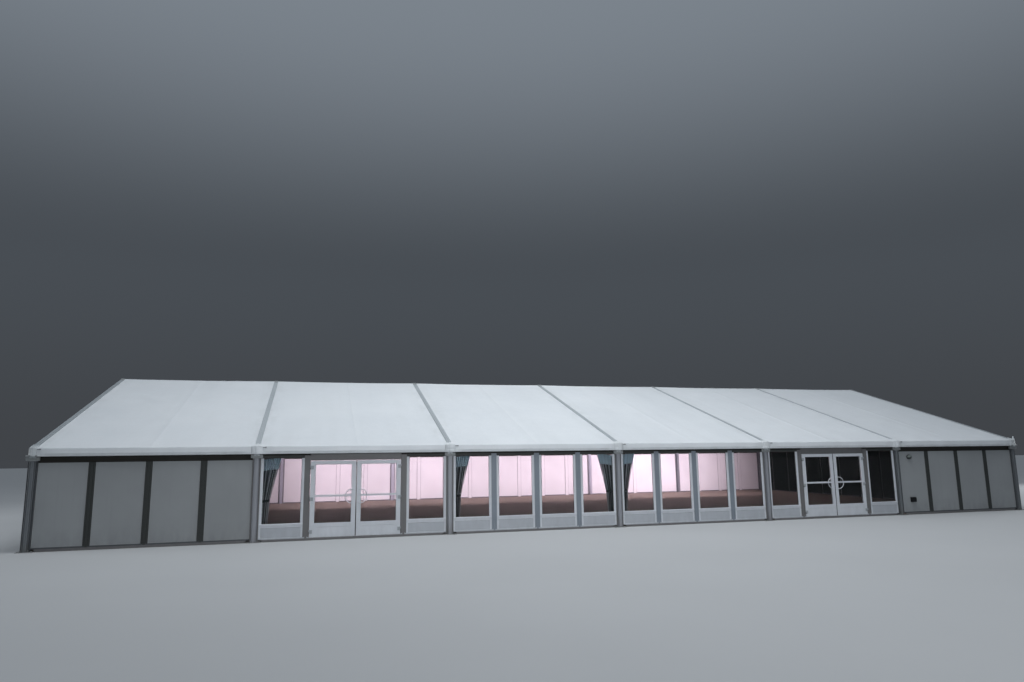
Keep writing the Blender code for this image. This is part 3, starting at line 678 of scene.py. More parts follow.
def cloth_out(bay, x, out, height):
    """How far the cloth stands out: hollows between the frames, folds at the corners, a bead."""
    here = Vector((x * 0.9 + bay * 7.3, out * 0.9, height * 1.3))
    if height < EAVE_Z - FOLD_RADIUS * 1.1:
        return band_out(bay, x, here, height)
    u = x / SHEET_HALF
    up = 1.0 - out / EAVE_Y
    hollow = (1 - u * u) * (0.016 * math.sin(math.pi * up) ** 0.8 + 0.016 * up ** 6)
    folds = 0.0
    for corner in BOTH:
        dx = (corner - u) * SHEET_HALF * corner
        dy = EAVE_Y - out
        reach = math.hypot(dx, dy)
        angle = math.atan2(dy, dx + 1e-6)
        folds += 0.0045 * math.sin(11 * angle) * math.exp(-reach / 0.55) * min(1.0, reach / 0.10)
    ripple = 0.0030 * noise.noise(here) * (1 - u ** 8)
    bead = 0.005 * math.exp(-((SHEET_HALF - abs(x) - 0.007) / 0.004) ** 2)
    return -hollow + folds + ripple + bead


def sheet_columns():
    """X across a bay from its middle, closer at the weld and at both edges."""
    steps = 40
    places = [SHEET_HALF * math.sin(math.pi / 2 * (2 * step / steps - 1)) for step in range(steps + 1)]
    places = [x for x in places if WELD_HALF + 0.004 < abs(x) < SHEET_HALF - 0.02]
    places += [-WELD_HALF - 0.002, -WELD_HALF + 0.002, 0.0, WELD_HALF - 0.002, WELD_HALF + 0.002]
    for inset in (0.0, 0.003, 0.007, 0.011, 0.016):
        places += [inset - SHEET_HALF, SHEET_HALF - inset]
    return sorted(places)


def roof_sheet(bay):
    """One bay of tensioned cloth, from the front hem over the ridge to the back hem."""
    half = section_line()
    line = [(-out, z, -ny, nz) for out, z, ny, nz in half] + half[-2::-1]
    columns = sheet_columns()
    rows = []
    for y, z, ny, nz in line:
        near_fold = EAVE_Z < z < EAVE_Z + 0.03 or z < BAND_BOTTOM + POCKET_TOP
        # The second layer darkens the cloth beside the rafters and along the hem: painted shade, with dirt.
        hem = max(0.0, 1 - (z - BAND_BOTTOM) / HEM_SHADE_AND_STAIN)
        row = []
        for x in columns:
            on_weld = abs(x) < WELD_HALF and z > EAVE_Z
            push = cloth_out(bay, x, abs(y), z) + (WELD_RISE if on_weld else 0.0)
            edge = max(0.0, abs(x) / SHEET_HALF * 6 - 5) * 0.7
            row.append(((bay_middle(bay) + x, y + ny * push, z + nz * push),
                        1.0 if on_weld or near_fold else 0.0, min(1.0, 0.45 * edge + 0.40 * hem)))
        rows.append(row)
    made = cloth_piece(f"roof_cloth_{bay}", rows, CLOTH_LAYERS, ROOF, [f"roof_sheet_{bay}"], offset=-1.0)


HOOD_HALF = 0.145
HOOD_TOP_HALF = 0.060
HOOD_RISE = 0.07
END_HOOD_HALF = 0.085
HOOD_SWELL = 0.030
HOOD_LIP = 0.005
HOOD_BELLY = 0.022


def hood_edges(n, up):
    """Left and right edge of a hood about its frame, narrowing up the slope."""
    half = HOOD_HALF + (HOOD_TOP_HALF - HOOD_HALF) * up ** 0.75
    left, right = -half, half
    if n in END_SIDE:
        left, right = max(left, -END_HOOD_HALF), min(right, END_HOOD_HALF)
    return left, right


def eave_hood(n, x, side):
    """The cloth hood over the end of a rafter: full at the knee, creased, lower on its left part."""
    steps = 22
    rows = []
    for out, z, ny, nz in section_line(20, 160):
        if z >= EAVE_Z + HOOD_RISE:
            break
        up = max(0.0, (z - EAVE_Z) / HOOD_RISE)
        down = max(0.0, (EAVE_Z - z) / (EAVE_Z - BAND_BOTTOM))
        left, right = hood_edges(n, up)
        height = HOOD_LIP + HOOD_SWELL * (1 - up) ** 1.5 + HOOD_BELLY * min(1.0, down * 1.3)
        row = []
        for step in range(steps + 1):
            share = 2 * step / steps - 1
            across = left + (right - left) * step / steps
            bulge = height * (1 - abs(share) ** 2.5) ** 0.9
            if share < -0.2:
                bulge *= 1 - 0.35 * min(1.0, (-0.2 - share) / 0.12)
            crease = 0.005 * noise.noise(Vector((across * 14 + n * 5.0, z * 16, side * 2.0)))
            tuck = -0.006 * math.exp(-((down - 0.55) / 0.06) ** 2) * (1 - abs(share))
            push = 0.003 + bulge + crease * min(1.0, (1 - abs(share)) * 5) + tuck
            row.append(((x + across, side * (out + ny * push), z + nz * push), 0.0, 0.45))
        rows.append(row)
    # Hoods of the end frames take the darkened cloth as painted shade.
    finish = SHADED_END_HOOD if n in END_SIDE else HOOD
    made = cloth_piece(f"eave_hood_{n}_{FACING[side]}", rows, CLOTH_LAYERS, finish)
    left, right = hood_edges(n, 0.0)


def band_strap(n, x, side):
    """The webbing and buckle that pull the top of the band tight, beside each hood."""
    face = side * (EAVE_Y + 0.004)
    start = x + (END_HOOD_HALF if n in END_SIDE else HOOD_HALF) - 0.02
    shape = Shape().box((start, face, EAVE_Z - 0.040), (start + 0.095, face + side * 0.006, EAVE_Z - 0.022))
    shape.box((start + 0.060, face, EAVE_Z - 0.046), (start + 0.100, face + side * 0.012, EAVE_Z - 0.016))
    piece(f"band_strap_{n}_{FACING[side]}", shape, WEBBING, bevel=0.002)


def gable_cloth(side, name):
    """The cloth triangle under the end rafters, with upright welds."""
    low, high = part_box("gable_sheet_" + name)
    face = high.x if side > 0 else low.x
    knee = rafter_top(GABLE_HALF) - RAFTER_DROP
    columns = 96
    steps = 26
    rows = []
    for step in range(steps + 1):
        row = []
        for column in range(columns + 1):
            y = (2 * column / columns - 1) * GABLE_HALF
            top = rafter_top(y) - RAFTER_DROP - 0.004
            z = low.z + (top - low.z) * step / steps
            push = 0.005 * noise.noise(Vector((y * 0.8, z * 1.2, side * 4.0))) - 0.006
            push += 0.002 * noise.noise(Vector((y * 5, z * 2, 1.0)))
            # The second layer darkens the cloth towards the bottom of the triangle.
            row.append(((face + side * push, y, z), 1.0 if column % 12 == 0 else 0.0,
                        max(0.0, 0.8 - (z - knee) * 1.4)))
        rows.append(row)
    made = cloth_piece("gable_cloth_" + name, rows, CLOTH_LAYERS, ROOF, ["gable_sheet_" + name])


# Walls
MULLION_FACE = [(0.028, 0.0), (0.028, 0.011), (0.040, 0.011), (0.040, 0.003), (0.072, 0.003), (0.075, 0.006)]
CASING = 0.037
MULLION_OUTLINE = MULLION_FACE + [(MULLION_HALF, WALL_DEPTH)]
CASED_OUTLINE = MULLION_FACE + [(MULLION_HALF, CASING)]
BASE_HEIGHT = 0.036
BASE_RAIL = [(0.002, WALL_BASE), (0.002, WALL_BASE + 0.022), (0.010, WALL_BASE + BASE_HEIGHT),
             (0.068, WALL_BASE + BASE_HEIGHT), (0.068, WALL_BASE)]
HEAD_RAIL = [(0.030, -0.012), (0.030, 0.050), (0.040, 0.058), (0.040, 0.34), (0.078, 0.34), (0.078, -0.012)]
PANEL_FOOT = WALL_BASE + 0.030
TRIM = 0.018
TRIM_LAP = 0.004
GASKET = 0.004
TRACK = [(0.060, 2.135), (0.205, 2.135), (0.205, 2.158), (0.060, 2.158)]


def fields(half, modules):
    """The lines of a wall's mullions, and the start and end of each field between them."""
    lines = [(number - modules / 2) * MODULE for number in range(1, modules)]
    marks = [-half] + [line + sign * MULLION_HALF for line in lines for sign in BOTH] + [half]
    return lines, list(zip(marks[::2], marks[1::2]))


def panels(wall, half, modules, stands_for, head_top=EAVE_Z, lining=INNER_SKIN):
    """Flat panels in light edge trims between grey mullions."""
    lines, spans = fields(half, modules)
    skins, inner, trims, gaskets = Shape(), Shape(), Shape(), Shape()
    front = PANEL_RECESS
    edge = GASKET + TRIM
    for start, end in spans:
        left, right = start + edge - TRIM_LAP, end - edge + TRIM_LAP
        skins.box((left, front, PANEL_FOOT), (right, front + 0.018, PANEL_TOP))
        inner.box((left, front + 0.0185, PANEL_FOOT), (right, front + 0.037, PANEL_TOP))
        for side, sign in ((start, 1), (end, -1)):
            seam = side + sign * GASKET
            gaskets.box((side, front + 0.002, PANEL_FOOT), (seam, front + 0.03, PANEL_TOP))
            trims.box((seam, front - 0.007, PANEL_FOOT), (side + sign * edge, front + 0.038, PANEL_TOP))
        trims.box((start + edge, front - 0.005, PANEL_FOOT), (end - edge, front + 0.01, PANEL_FOOT + TRIM))
    for line in lines:
        inner.box((line - MULLION_HALF, CASING + 0.0005, WALL_BASE),
                  (line + MULLION_HALF, WALL_DEPTH, PANEL_TOP))
    # Outer skins in mid grey as painted shade.
    wall.add("_panels", skins, SHADED_PANEL_SKIN, stands_for, 0.0015)
    wall.add("_panel_trims", trims, TRIM_PAINT, bevel=0.0015)
    wall.add("_panel_gaskets", gaskets, RUBBER)
    wall.add("_inner_panels", inner, lining, bevel=0.0015)
    wall.mullions(lines, CASED_OUTLINE, PANEL_TOP, DARK_PAINT)
    wall.rail("_base_rail", BASE_RAIL, -half, half, CHANNEL_PAINT)
    head = [(y, min(PANEL_TOP + z, head_top)) for y, z in HEAD_RAIL]
    # Head rail in near black as painted shade under the band.
    wall.rail("_head_rail", head, -half, half, HEAD_SHADE_PAINT)


SASH_SECTION = [
    (0.000, 0.024), (0.000, 0.034), (0.012, 0.034), (0.012, 0.050), (0.070, 0.050), (0.070, 0.010),
    (0.030, 0.010), (0.026, 0.015), (0.008, 0.019),
]
BEAD_SECTION = [(0.000, 0.0435), (0.000, 0.050), (0.0115, 0.050), (0.0115, 0.0435)]
SEAL_SECTION = [(-0.004, 0.0270), (-0.004, 0.0335), (0.001, 0.0335), (0.001, 0.0225)]
NOSE_SECTION = [(-0.012, -0.030), (-0.012, -0.010), (0.002, -0.002), (0.002, -0.030)]
PANE_LAP = 0.010
PANE_FRONT, PANE_BACK = 0.0345, 0.0425
WINDOW_HEAD = PANEL_TOP + 0.11
HEAD_SHARE = 0.7
MULLION_RISE = 0.06
LOW_RAIL_TOP = 0.34
LOW_POST = 0.05
# The top sash rails are dark grey as painted shade under the eave band; the other sash rails are white.
WINDOW_PARTS = (("_sashes", FRAME_PAINT, 0.001), ("_top_sashes_painted_shade", DARK_PAINT, 0.001), ("_seals", RUBBER, 0.0),
                # Low panels in the darkened white as painted shade.
                ("_low_panels", SHADED_LOW_PAINT, 0.002), ("_panes", GLASS, 0.0))


def window(shapes, start, end):
    """One window over its low panel, between two edges of the wall."""
    sash, top, seal, low, pane = shapes
    x0, x1 = start + SASH_WIDTH, end - SASH_WIDTH
    for shape, section in ((sash, SASH_SECTION), (sash, BEAD_SECTION), (seal, SEAL_SECTION)):
        shape.trough(x0, x1, SILL_HEIGHT, GLASS_TOP, section)
    # Top rail of the sash, in dark grey as painted shade.
    top.prism([(depth, GLASS_TOP + offset) for offset, depth in SASH_SECTION], 0, start, end)
    pane.box((x0 - PANE_LAP, PANE_FRONT, SILL_HEIGHT - PANE_LAP),
             (x1 + PANE_LAP, PANE_BACK, GLASS_TOP + PANE_LAP))
    sash.prism([(SASH_RECESS + y, SILL_HEIGHT + z) for y, z in NOSE_SECTION], 0, start + 0.004, end - 0.004)
    sash.box((start, SASH_RECESS + 0.004, LOW_RAIL_TOP + 0.003),
             (end, FRAME_DEPTH, SILL_HEIGHT - SASH_WIDTH - 0.001))
    bottom = WALL_BASE + BASE_HEIGHT
    for edge, sign in ((start, 1), (end, -1)):
        sash.box((edge, SASH_RECESS, bottom), (edge + sign * LOW_POST, FRAME_DEPTH, LOW_RAIL_TOP))
    low.box((start + LOW_POST + 0.001, SASH_RECESS + 0.007, bottom),
            (end - LOW_POST - 0.001, FRAME_DEPTH - 0.004, LOW_RAIL_TOP))


def glazed_wall(wall, edges, posts, nodes, track, post_finish):
    """Windows between edges of the front wall, with the mullions on the lines given."""
    shapes = [Shape() for part in WINDOW_PARTS]
    for start, end in edges:
        window(shapes, start, end)
    for shape, (part, finish, bevel) in zip(shapes, WINDOW_PARTS):
        wall.add(part, shape, finish, nodes.get(part, ()), bevel)
    wall.mullions(posts, MULLION_OUTLINE, GLASS_TOP + MULLION_RISE, post_finish)
    marks = [mark for edge in edges for mark in edge]
    marks += [line + sign * MULLION_HALF for line in posts for sign in BOTH]
    low, high = min(marks), max(marks)
    # Base rail in the darkened white as painted shade.
    wall.rail("_base_rail", BASE_RAIL, low, high, SHADED_LOW_PAINT)
    head = [(y, WINDOW_HEAD + z * HEAD_SHARE) for y, z in HEAD_RAIL]
    # Head rail in near black as painted shade under the band.
    wall.rail("_head_rail", head, low, high, HEAD_SHADE_PAINT)
    if track:
        wall.rail("_curtain_track", TRACK, low, high, FRAME_PAINT)


def window_bay(bay):
    lines, spans = fields(WALL_HALF, MODULES)
    nodes = {"_sashes": [f"front_wall_{bay}"], "_panes": [f"front_glass_{bay}"]}
    glazed_wall(Wall(f"front_{bay}", "front", bay_middle(bay)), spans, lines, nodes, True, MULLION_PAINT)


# Doors
LEAF_EDGE = 0.005
LEAF_SEAM = 0.0005
KICK_GAP = 0.108
LEAF_RAIL = 0.105
HINGE_HEIGHTS = (0.21, 1.03, 1.84)
HINGE_OUT = 0.016
HINGE_HALF = 0.048
HINGE_RADIUS = 0.0098
HINGE_CAP = [(HINGE_RADIUS, 0.0), (0.0075, 0.004), (0.003, 0.006)]
HINGE_SCREW = [(0.0045, -0.0005), (0.0045, 0.0010), (0.003, 0.002)]
SCREW_RISES = (-0.030, 0.0, 0.030)
SCREW_SHARES = (0.50, 0.82)
PLATE_HALF = 0.046
BAR_LOW, BAR_HIGH = 1.085, 1.135
HANDLE_HEIGHT = 1.09
HANDLE_RADIUS = 0.18
HANDLE_BACK = 0.07
HANDLE_RUN = 0.03
HANDLE_STAND_OFF = 0.055
HANDLE_CORNER = 0.022
HANDLE_TUBE = 0.0105
HANDLE_ROSE = [(0.021, -0.0005), (0.021, 0.004), (0.016, 0.007)]
SILL = [(0.0, WALL_BASE), (0.004, WALL_BASE + 0.0025), (0.076, WALL_BASE + 0.0025), (WALL_DEPTH, WALL_BASE)]
LEAF_BEAD = [(0.000, 0.012), (0.000, 0.019), (0.022, 0.019), (0.022, -0.001), (0.018, -0.002), (0.004, 0.004)]
LEAF_SEAL = [(-0.004, 0.0145), (-0.004, 0.0185), (0.001, 0.0185), (0.001, 0.0105)]


def door_leaf(bay, side, sign):
    """A glazed leaf: stiles and rails, beads, kick rail, bar, hinges and handle."""
    name = f"door_{bay}_{side}"
    low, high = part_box(name)
    pane_low, pane_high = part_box(name + "_glass")
    face = -WALL_FACE
    back = high.y
    hinge_x = bay_middle(bay) + sign * (DOORWAY_HALF - LEAF_EDGE)
    near = hinge_x - sign * LEAF_EDGE
    free = high.x if sign < 0 else low.x
    bottom, top = low.z, high.z
    x0, x1 = pane_low.x, pane_high.x
    z0, z1 = pane_low.z, pane_high.z
    left, right = x0 + LEAF_SEAM, x1 - LEAF_SEAM
    leaf = Shape()
    for a, b in ((near, x0 if sign < 0 else x1), (x1 if sign < 0 else x0, free)):
        leaf.box((a, face, bottom), (b, back, top))
    leaf.box((left, face + LEAF_SEAM, z1), (right, back, top - LEAF_SEAM))
    leaf.box((left, face + LEAF_SEAM, z0 - LEAF_RAIL), (right, back, z0))
    leaf.box((left, face + 0.003, bottom + LEAF_SEAM), (right, back - 0.003, z0 - KICK_GAP))
    piece(name + "_leaf", leaf, FRAME_PAINT, name, [name], bevel=0.0015)
    depth = Matrix.Translation((0.0, face, 0.0))
    bead = Shape().ring(x0, x1, z0, z1, LEAF_BEAD)
    bead.box((x0, 0.0, BAR_LOW), (x1, 0.016, BAR_HIGH))
    piece(name + "_beads", bead, FRAME_PAINT, name, place=depth, bevel=0.001)
    piece(name + "_seal", Shape().ring(x0, x1, z0, z1, LEAF_SEAL), RUBBER, name, place=depth)
    pane = Shape().box((x0 + 0.001, pane_low.y + 0.002, z0 + 0.001),
                       (x1 - 0.001, pane_low.y + 0.010, z1 - 0.001))
    piece(name + "_pane", pane, GLASS, name, [name + "_glass"])
    brush = Shape().box((min(near, free) + 0.01, face + 0.012, bottom - 0.003),
                        (max(near, free) - 0.01, back - 0.012, bottom + 0.002))
    piece(name + "_brush", brush, RUBBER, name)
    seal = Shape().box((free, face + 0.003, bottom + 0.004), (free - sign * 0.002, back - 0.004, top - 0.004))
    seal.box((free, face - 0.0015, bottom + 0.004), (free + sign * 0.007, face + 0.001, top - 0.004))
    piece(name + "_meeting_seal", seal, RUBBER, name)
    handle(name, free, -sign, face)
    hinges(name, hinge_x, sign, face)


def handle(name, free, inward, face):
    """A half-moon pull: a bent tube with a rose at each end."""
    x = free - inward * HANDLE_BACK
    front = face - HANDLE_STAND_OFF
    arc = []
    for step in range(33):
        angle = math.pi * (0.5 + step / 32)
        reach = HANDLE_RADIUS * math.cos(angle) - HANDLE_RUN
        arc.append((x + inward * reach, front, HANDLE_HEIGHT + HANDLE_RADIUS * math.sin(angle)))
    turns = (0.0, 0.4, 0.8, 1.2, math.pi / 2)
    bend = [(HANDLE_CORNER * (1 - math.cos(a)), HANDLE_CORNER * (1 - math.sin(a))) for a in turns]
    bend = [(x - inward * across, front + out) for across, out in bend]
    bend.insert(0, (x, face - 0.001))
    start, end = arc[0][2], arc[-1][2]
    path = [(*place, start) for place in bend] + arc + [(*place, end) for place in bend[::-1]]
    shape = Shape().tube(path, HANDLE_TUBE, 16)
    for z in (start, end):
        shape.turned(HANDLE_ROSE, (x, face, z), (0, -1, 0), 24)
    piece(name + "_pull", shape, FRAME_PAINT, name, [name + "_handle"], smooth=True)


def hinges(name, x, sign, face):
    """Three hinges: the upper knuckle and its plate ride on the leaf, the lower ones are on the frame."""
    axis = face - HINGE_OUT
    for body, owner, half, reach, length, finish in (
            (name, "leaf", 1, -sign, 0.080, HINGE_PAINT), ("tent", "frame", -1, sign, 0.042, MID_PAINT)):
        shape = Shape()
        for height in HINGE_HEIGHTS:
            tip = height + half * HINGE_HALF
            shape.tube([(x, axis, z) for z in sorted((height + half * LEAF_SEAM, tip))], HINGE_RADIUS, 20)
            shape.turned(HINGE_CAP, (x, axis, tip), (0, 0, half), 20)
            shape.box((x + reach * 0.004, axis - 0.001, height + half * 0.004),
                      (x + reach * 0.016, face + 0.001, height + half * PLATE_HALF))
            shape.box((x + reach * 0.014, face - 0.006, height - PLATE_HALF),
                      (x + reach * length, face + 0.0035, height + PLATE_HALF))
            for rise in SCREW_RISES:
                for out in SCREW_SHARES:
                    place = (x + reach * length * out, face - 0.006, height + rise)
                    shape.turned(HINGE_SCREW, place, (0, -1, 0), 12)
        piece(f"{name}_{owner}_hinges", shape, finish, body, smooth=True)


def door_bay(bay):
    """Two windows, a pair of leaves, the rail over them and the sill under them."""
    middle = bay_middle(bay)
    for side, sign in (("left", -1), ("right", 1)):
        post = sign * MODULE
        edge = sorted((sign * WALL_HALF, post + sign * MULLION_HALF))
        nodes = {"_sashes": [f"side_window_{bay}_{side}"], "_panes": [f"side_glass_{bay}_{side}"]}
        wall = Wall(f"front_{bay}_{side}", "front", middle)
        glazed_wall(wall, [edge], [post], nodes, (bay, side) in CURTAINS, MID_PAINT)
        door_leaf(bay, side, sign)
    wall = Wall(f"door_{bay}", "front", middle)
    reach = DOORWAY_HALF - 0.001
    head = Shape().box((-reach, HEAD_RECESS, DOOR_TOP), (reach, WALL_DEPTH, EAVE_Z))
    head.box((-reach, HEAD_RECESS - 0.006, DOOR_TOP + 0.03), (reach, HEAD_RECESS + 0.001, DOOR_TOP + 0.085))
    wall.add("_head_rail", head, MID_PAINT, [f"door_head_{bay}"], 0.002)
    wall.rail("_threshold", SILL, -reach, reach, PURLIN_METAL)


# Curtains
CURTAIN_WIDTH = 1.15
CURTAIN_NEAR = 0.006
CURTAIN_TIED = 0.222
CURTAIN_FREE = 0.192
CURTAIN_SPREAD = 0.266
CURTAIN_SAG = 0.07
CURTAIN_DEPTH = 0.042
PLEATS = 8
# Count of stripes of painted light and shade across the width of a curtain.
PLEAT_SHADING_LINES = 4.3
TOP_GAP = 0.012
FOOT_GAP = 0.004
HEADING_DROP = 0.32
TIE_HEIGHT = 1.0
TIE_HALF = 0.03


def curtain_far(z, top, bottom):
    """Far edge of the cloth, from the leg, at a height."""
    if z > TIE_HEIGHT:
        return CURTAIN_TIED + CURTAIN_SPREAD * ((z - TIE_HEIGHT) / (top - TIE_HEIGHT)) ** 1.08
    share = (TIE_HEIGHT - z) / (TIE_HEIGHT - bottom) * 1.6
    ease = 0.5 - 0.5 * math.cos(math.pi * min(1.0, max(0.0, share)))
    return CURTAIN_TIED + (CURTAIN_FREE - CURTAIN_TIED) * ease


def curtain(bay, side):
    """A pleated voile drawn back to the leg by a tie, with a doubled heading."""
    node = f"curtain_{bay}_{side}"
    low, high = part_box(node)
    sign = 1 if side == "left" else -1
    edge = low.x if side == "left" else high.x
    middle = (low.y + high.y) / 2
    columns = PLEATS * 12

    def surface(part, start, end, out, stretch, finish, shares=(0.0, 1.0)):
        rows = []
        count = max(6, int(58 * (start - end) / (high.z - low.z)))
        for step in range(count + 1):
            z = start + (end - start) * step / count
            width = curtain_far(z, high.z, low.z) - CURTAIN_NEAR
            need = math.sqrt(max(0.0, CURTAIN_WIDTH ** 2 - width ** 2)) / (4 * PLEATS)
            pinch = math.exp(-((z - TIE_HEIGHT) / 0.06) ** 2)
            depth = min(0.040, need) * stretch * (1 - 0.35 * pinch)
            row = []
            for column in range(int(columns * shares[0]), int(columns * shares[1]) + 1):
                share = column / columns
                phase = 2 * math.pi * PLEATS * share
                wander = 0.35 * noise.noise(Vector((share * 5, z * 1.3, bay * 3.0 + sign)))
                x = CURTAIN_NEAR + width * share + 0.004 * math.sin(2 * phase)
                y = depth * math.sin(phase + wander * (1 - pinch))
                y += 0.006 * noise.noise(Vector((share * 9, z * 3.0, bay * 1.7)))
                y = max(-CURTAIN_DEPTH, min(CURTAIN_DEPTH, y + out))
                sag = CURTAIN_SAG * (1 - share) ** 1.5 * max(0.0, (z - TIE_HEIGHT) / (high.z - TIE_HEIGHT))
                drift = 2.5 * noise.noise(Vector((share * 6, z * 0.5, bay)))
                # Stripes of painted light and shade on the pleats, for the second colour of the finish.
                painted_pleat_shading = max(0.0, math.sin(2 * math.pi * PLEAT_SHADING_LINES * share + drift)) ** 1.6
                row.append(((edge + sign * x, middle + y, z - sag), painted_pleat_shading))
            rows.append(row)
        return cloth_piece(node + part, rows, ("painted_pleat_shading",), finish, [node], 0.0012)

    # The main cloth in near-black voile, painted shade.
    cloth = surface("_cloth", high.z - TOP_GAP, low.z + FOOT_GAP, 0.0, 1.0, SHADED_VOILE, (0.0, 0.875))
    # The heading in pale blue, partly painted sky reflection.
    heading = surface("_heading", high.z - 0.010, high.z - HEADING_DROP, -0.0022, 1.02, HEADING)
    # The leading hem in the glowing colour, painted light.
    hem = surface("_hem", high.z - TOP_GAP, low.z + FOOT_GAP, -0.0014, 1.0, GLOWING_HEM, (0.855, 1.0))
    far = curtain_far(TIE_HEIGHT, high.z, low.z)
    rings = []
    for step in range(36):
        angle = 2 * math.pi * step / 36
        x = edge + sign * ((CURTAIN_NEAR + far) / 2 + (far - CURTAIN_NEAR) / 2 * 1.04 * math.cos(angle))
        y = middle + 0.040 * math.sin(angle)
        z = TIE_HEIGHT + 0.10 * (x - edge) * sign
        rings.append([(x, y, z - TIE_HALF), (x, y, z + TIE_HALF), (x + 0.001, y + 0.001, z + TIE_HALF),
                      (x + 0.001, y + 0.001, z - TIE_HALF)])
    # The tie in the same near-black voile, painted shade.
    tie_piece = piece(node + "_tie", Shape().loops(rings, closed=True), SHADED_VOILE, smooth=True)


# Fittings on the panel of the last bay
COVER_SPLIT = 0.16
COVER_SHARE = 0.90
CASE_DEPTH = 0.045
SCREW_INSET = 0.018
BOX_SCREW = [(0.006, -0.001), (0.006, 0.002), (0.004, 0.003)]


def wall_light():
    """An oval bulkhead light: a dark base, a pale upper cover and a lower half of the cover in dark grey as
    painted shade.
    """
    low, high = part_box("wall_light")
    radius = (high.x - low.x) / 2
    flat = (high.z - low.z) / (high.x - low.x)
    place = Matrix.Translation(((low.x + high.x) / 2, high.y, (low.z + high.z) / 2))
    place = place @ Matrix.Diagonal((1.0, 1.0, flat, 1.0))
    base = [(radius * 0.985, 0.0), (radius * 0.99, 0.004), (radius * 0.99, 0.024), (radius * 0.93, 0.030)]
    dish = Shape().turned(base, (0, 0, 0), (0, -1, 0), 64)
    piece("wall_light_base", dish, DARK_PAINT, place=place, smooth=True)
    rise = high.y - low.y - 0.034
    # The lower half of the cover takes the dark grey as painted shade.
    for name, half, start, end, finish, stands_for in (
            ("upper", 1, -COVER_SPLIT, math.pi + COVER_SPLIT, LAMP, ["wall_light"]),
            ("lower", -1, math.pi + COVER_SPLIT, 2 * math.pi - COVER_SPLIT, SHADED_LOWER_COVER, [])):
        rings = []
        for step in range(15):
            angle = math.pi / 2 * step / 14.5
            across = radius * COVER_SHARE * math.cos(angle)
            turns = [start + (end - start) * turn / 32 for turn in range(33)]
            rings.append([(across * math.cos(a), -0.029 - rise * math.sin(angle),
                           across * math.sin(a) + half * 0.0006) for a in turns])
        cover = Shape().loops(rings)
        piece(f"wall_light_{name}_cover", cover, finish, stands_for=stands_for, place=place, smooth=True)


def socket_box():
    """A black case with a lid and four screws."""
    low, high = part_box("socket_box")
    shape = Shape().box((low.x, high.y - CASE_DEPTH, low.z), (high.x, high.y, high.z))
    shape.box((low.x + 0.004, low.y + 0.004, low.z + 0.004), (high.x - 0.004, high.y - 0.048, high.z - 0.004))
    piece("socket_box_case", shape, BLACK, stands_for=["socket_box"], bevel=0.008)
    shape = Shape()
    for x in (low.x + SCREW_INSET, high.x - SCREW_INSET):
        for z in (low.z + SCREW_INSET, high.z - SCREW_INSET):
            shape.turned(BOX_SCREW, (x, low.y + 0.004, z), (0, -1, 0), 14)
    piece("socket_box_screws", shape, CAST_METAL, smooth=True)


# Floor edge and gable posts
EDGE_SECTION = [(0.0, 0.004), (-0.004, 0.004), (-0.004, 0.040), (-0.007, 0.043), (-0.007, 0.051),
                (-0.004, 0.054), (-0.004, 0.0595), (0.0, 0.0595)]


def floor_edges():
    """Dark kick strips with a bead on the faces of the floor, from leg to leg."""
    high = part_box("floor")[1]
    shape = Shape()
    for start, end in zip(FRAMES, FRAMES[1:]):
        for side in BOTH:
            outline = [(side * (high.y - y), z) for y, z in EDGE_SECTION]
            shape.prism(outline, 0, start + FOOT[0] + 0.002, end - FOOT[0] - 0.002)
    for side in BOTH:
        outline = [(side * (high.x - x), z) for x, z in EDGE_SECTION]
        shape.prism(outline, 1, -GABLE_HALF + 0.06, GABLE_HALF - 0.06)
    piece("floor_edge_strips", shape, MID_PAINT)


def gable_posts(name):
    """The two posts of a gable that run up to the rafters."""
    shape = Shape()
    for line in (-BAY / 2, BAY / 2):
        plan = [(line + x, y) for x, y in mirrored([(x * 0.86, y - 0.007) for x, y in MULLION_OUTLINE])]
        foot = [(x, y, WALL_BASE) for x, y in plan]
        shape.loops([foot, [(x, y, rafter_top(x) - RAFTER_DROP) for x, y in plan]])
    Wall("gable_posts_" + name, name, 0.0).add("", shape, LEG_METAL)


# The whole tent
for number, line in enumerate(FRAMES, 1):
    for build in (legs, rafters, wall_channels, capitals, ridge_plate, feet):
        build(number, line)
    if number in END_SIDE:
        end_cheek(number, line)
    for end in BOTH:
        eave_hood(number, line, end)
        if number < len(FRAMES):
            band_strap(number, line, end)
for number in range(1, 7):
    middle = bay_middle(number)
    roof_sheet(number)
    panels(Wall(f"back_{number}", "back", middle), WALL_HALF, MODULES, [f"back_wall_{number}"])
    if number in DOOR_BAYS:
        door_bay(number)
    elif number in WINDOW_BAYS:
        window_bay(number)
    else:
        panels(Wall(f"front_{number}", "front", middle), WALL_HALF, MODULES, [f"front_wall_{number}"])
for name, end in (("left", -1), ("right", 1)):
    gable_cloth(end, name)
    wall = Wall("gable_" + name, name, 0.0)
    # Gable panels are lined in near black as painted shade.
    panels(wall, GABLE_HALF, 3 * MODULES, ["gable_wall_" + name], GABLE_HEAD, SHADE_LINING)
    gable_posts(name)
for bay, side in CURTAINS:
    curtain(bay, side)
wall_light()
socket_box()
floor_edges()
for node, finish in (("floor", MATTING), ("ridge_purlin", PURLIN_METAL)):
    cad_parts[node].data.materials.clear()
    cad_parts[node].data.materials.append(finish.material)


# Stage, light and camera
STAGE_REACH = 200.0


def stage_floor():
    pale = Finish("pale_floor", (0.52, 0.53, 0.54), 0.8)
    pale.vary(0.25, (0.49, 0.50, 0.51), 0.6)
    slab = Shape().box((-STAGE_REACH, -STAGE_REACH, -0.05), (STAGE_REACH, STAGE_REACH, -0.0005))
    slab.to_scene("stage_floor", pale)


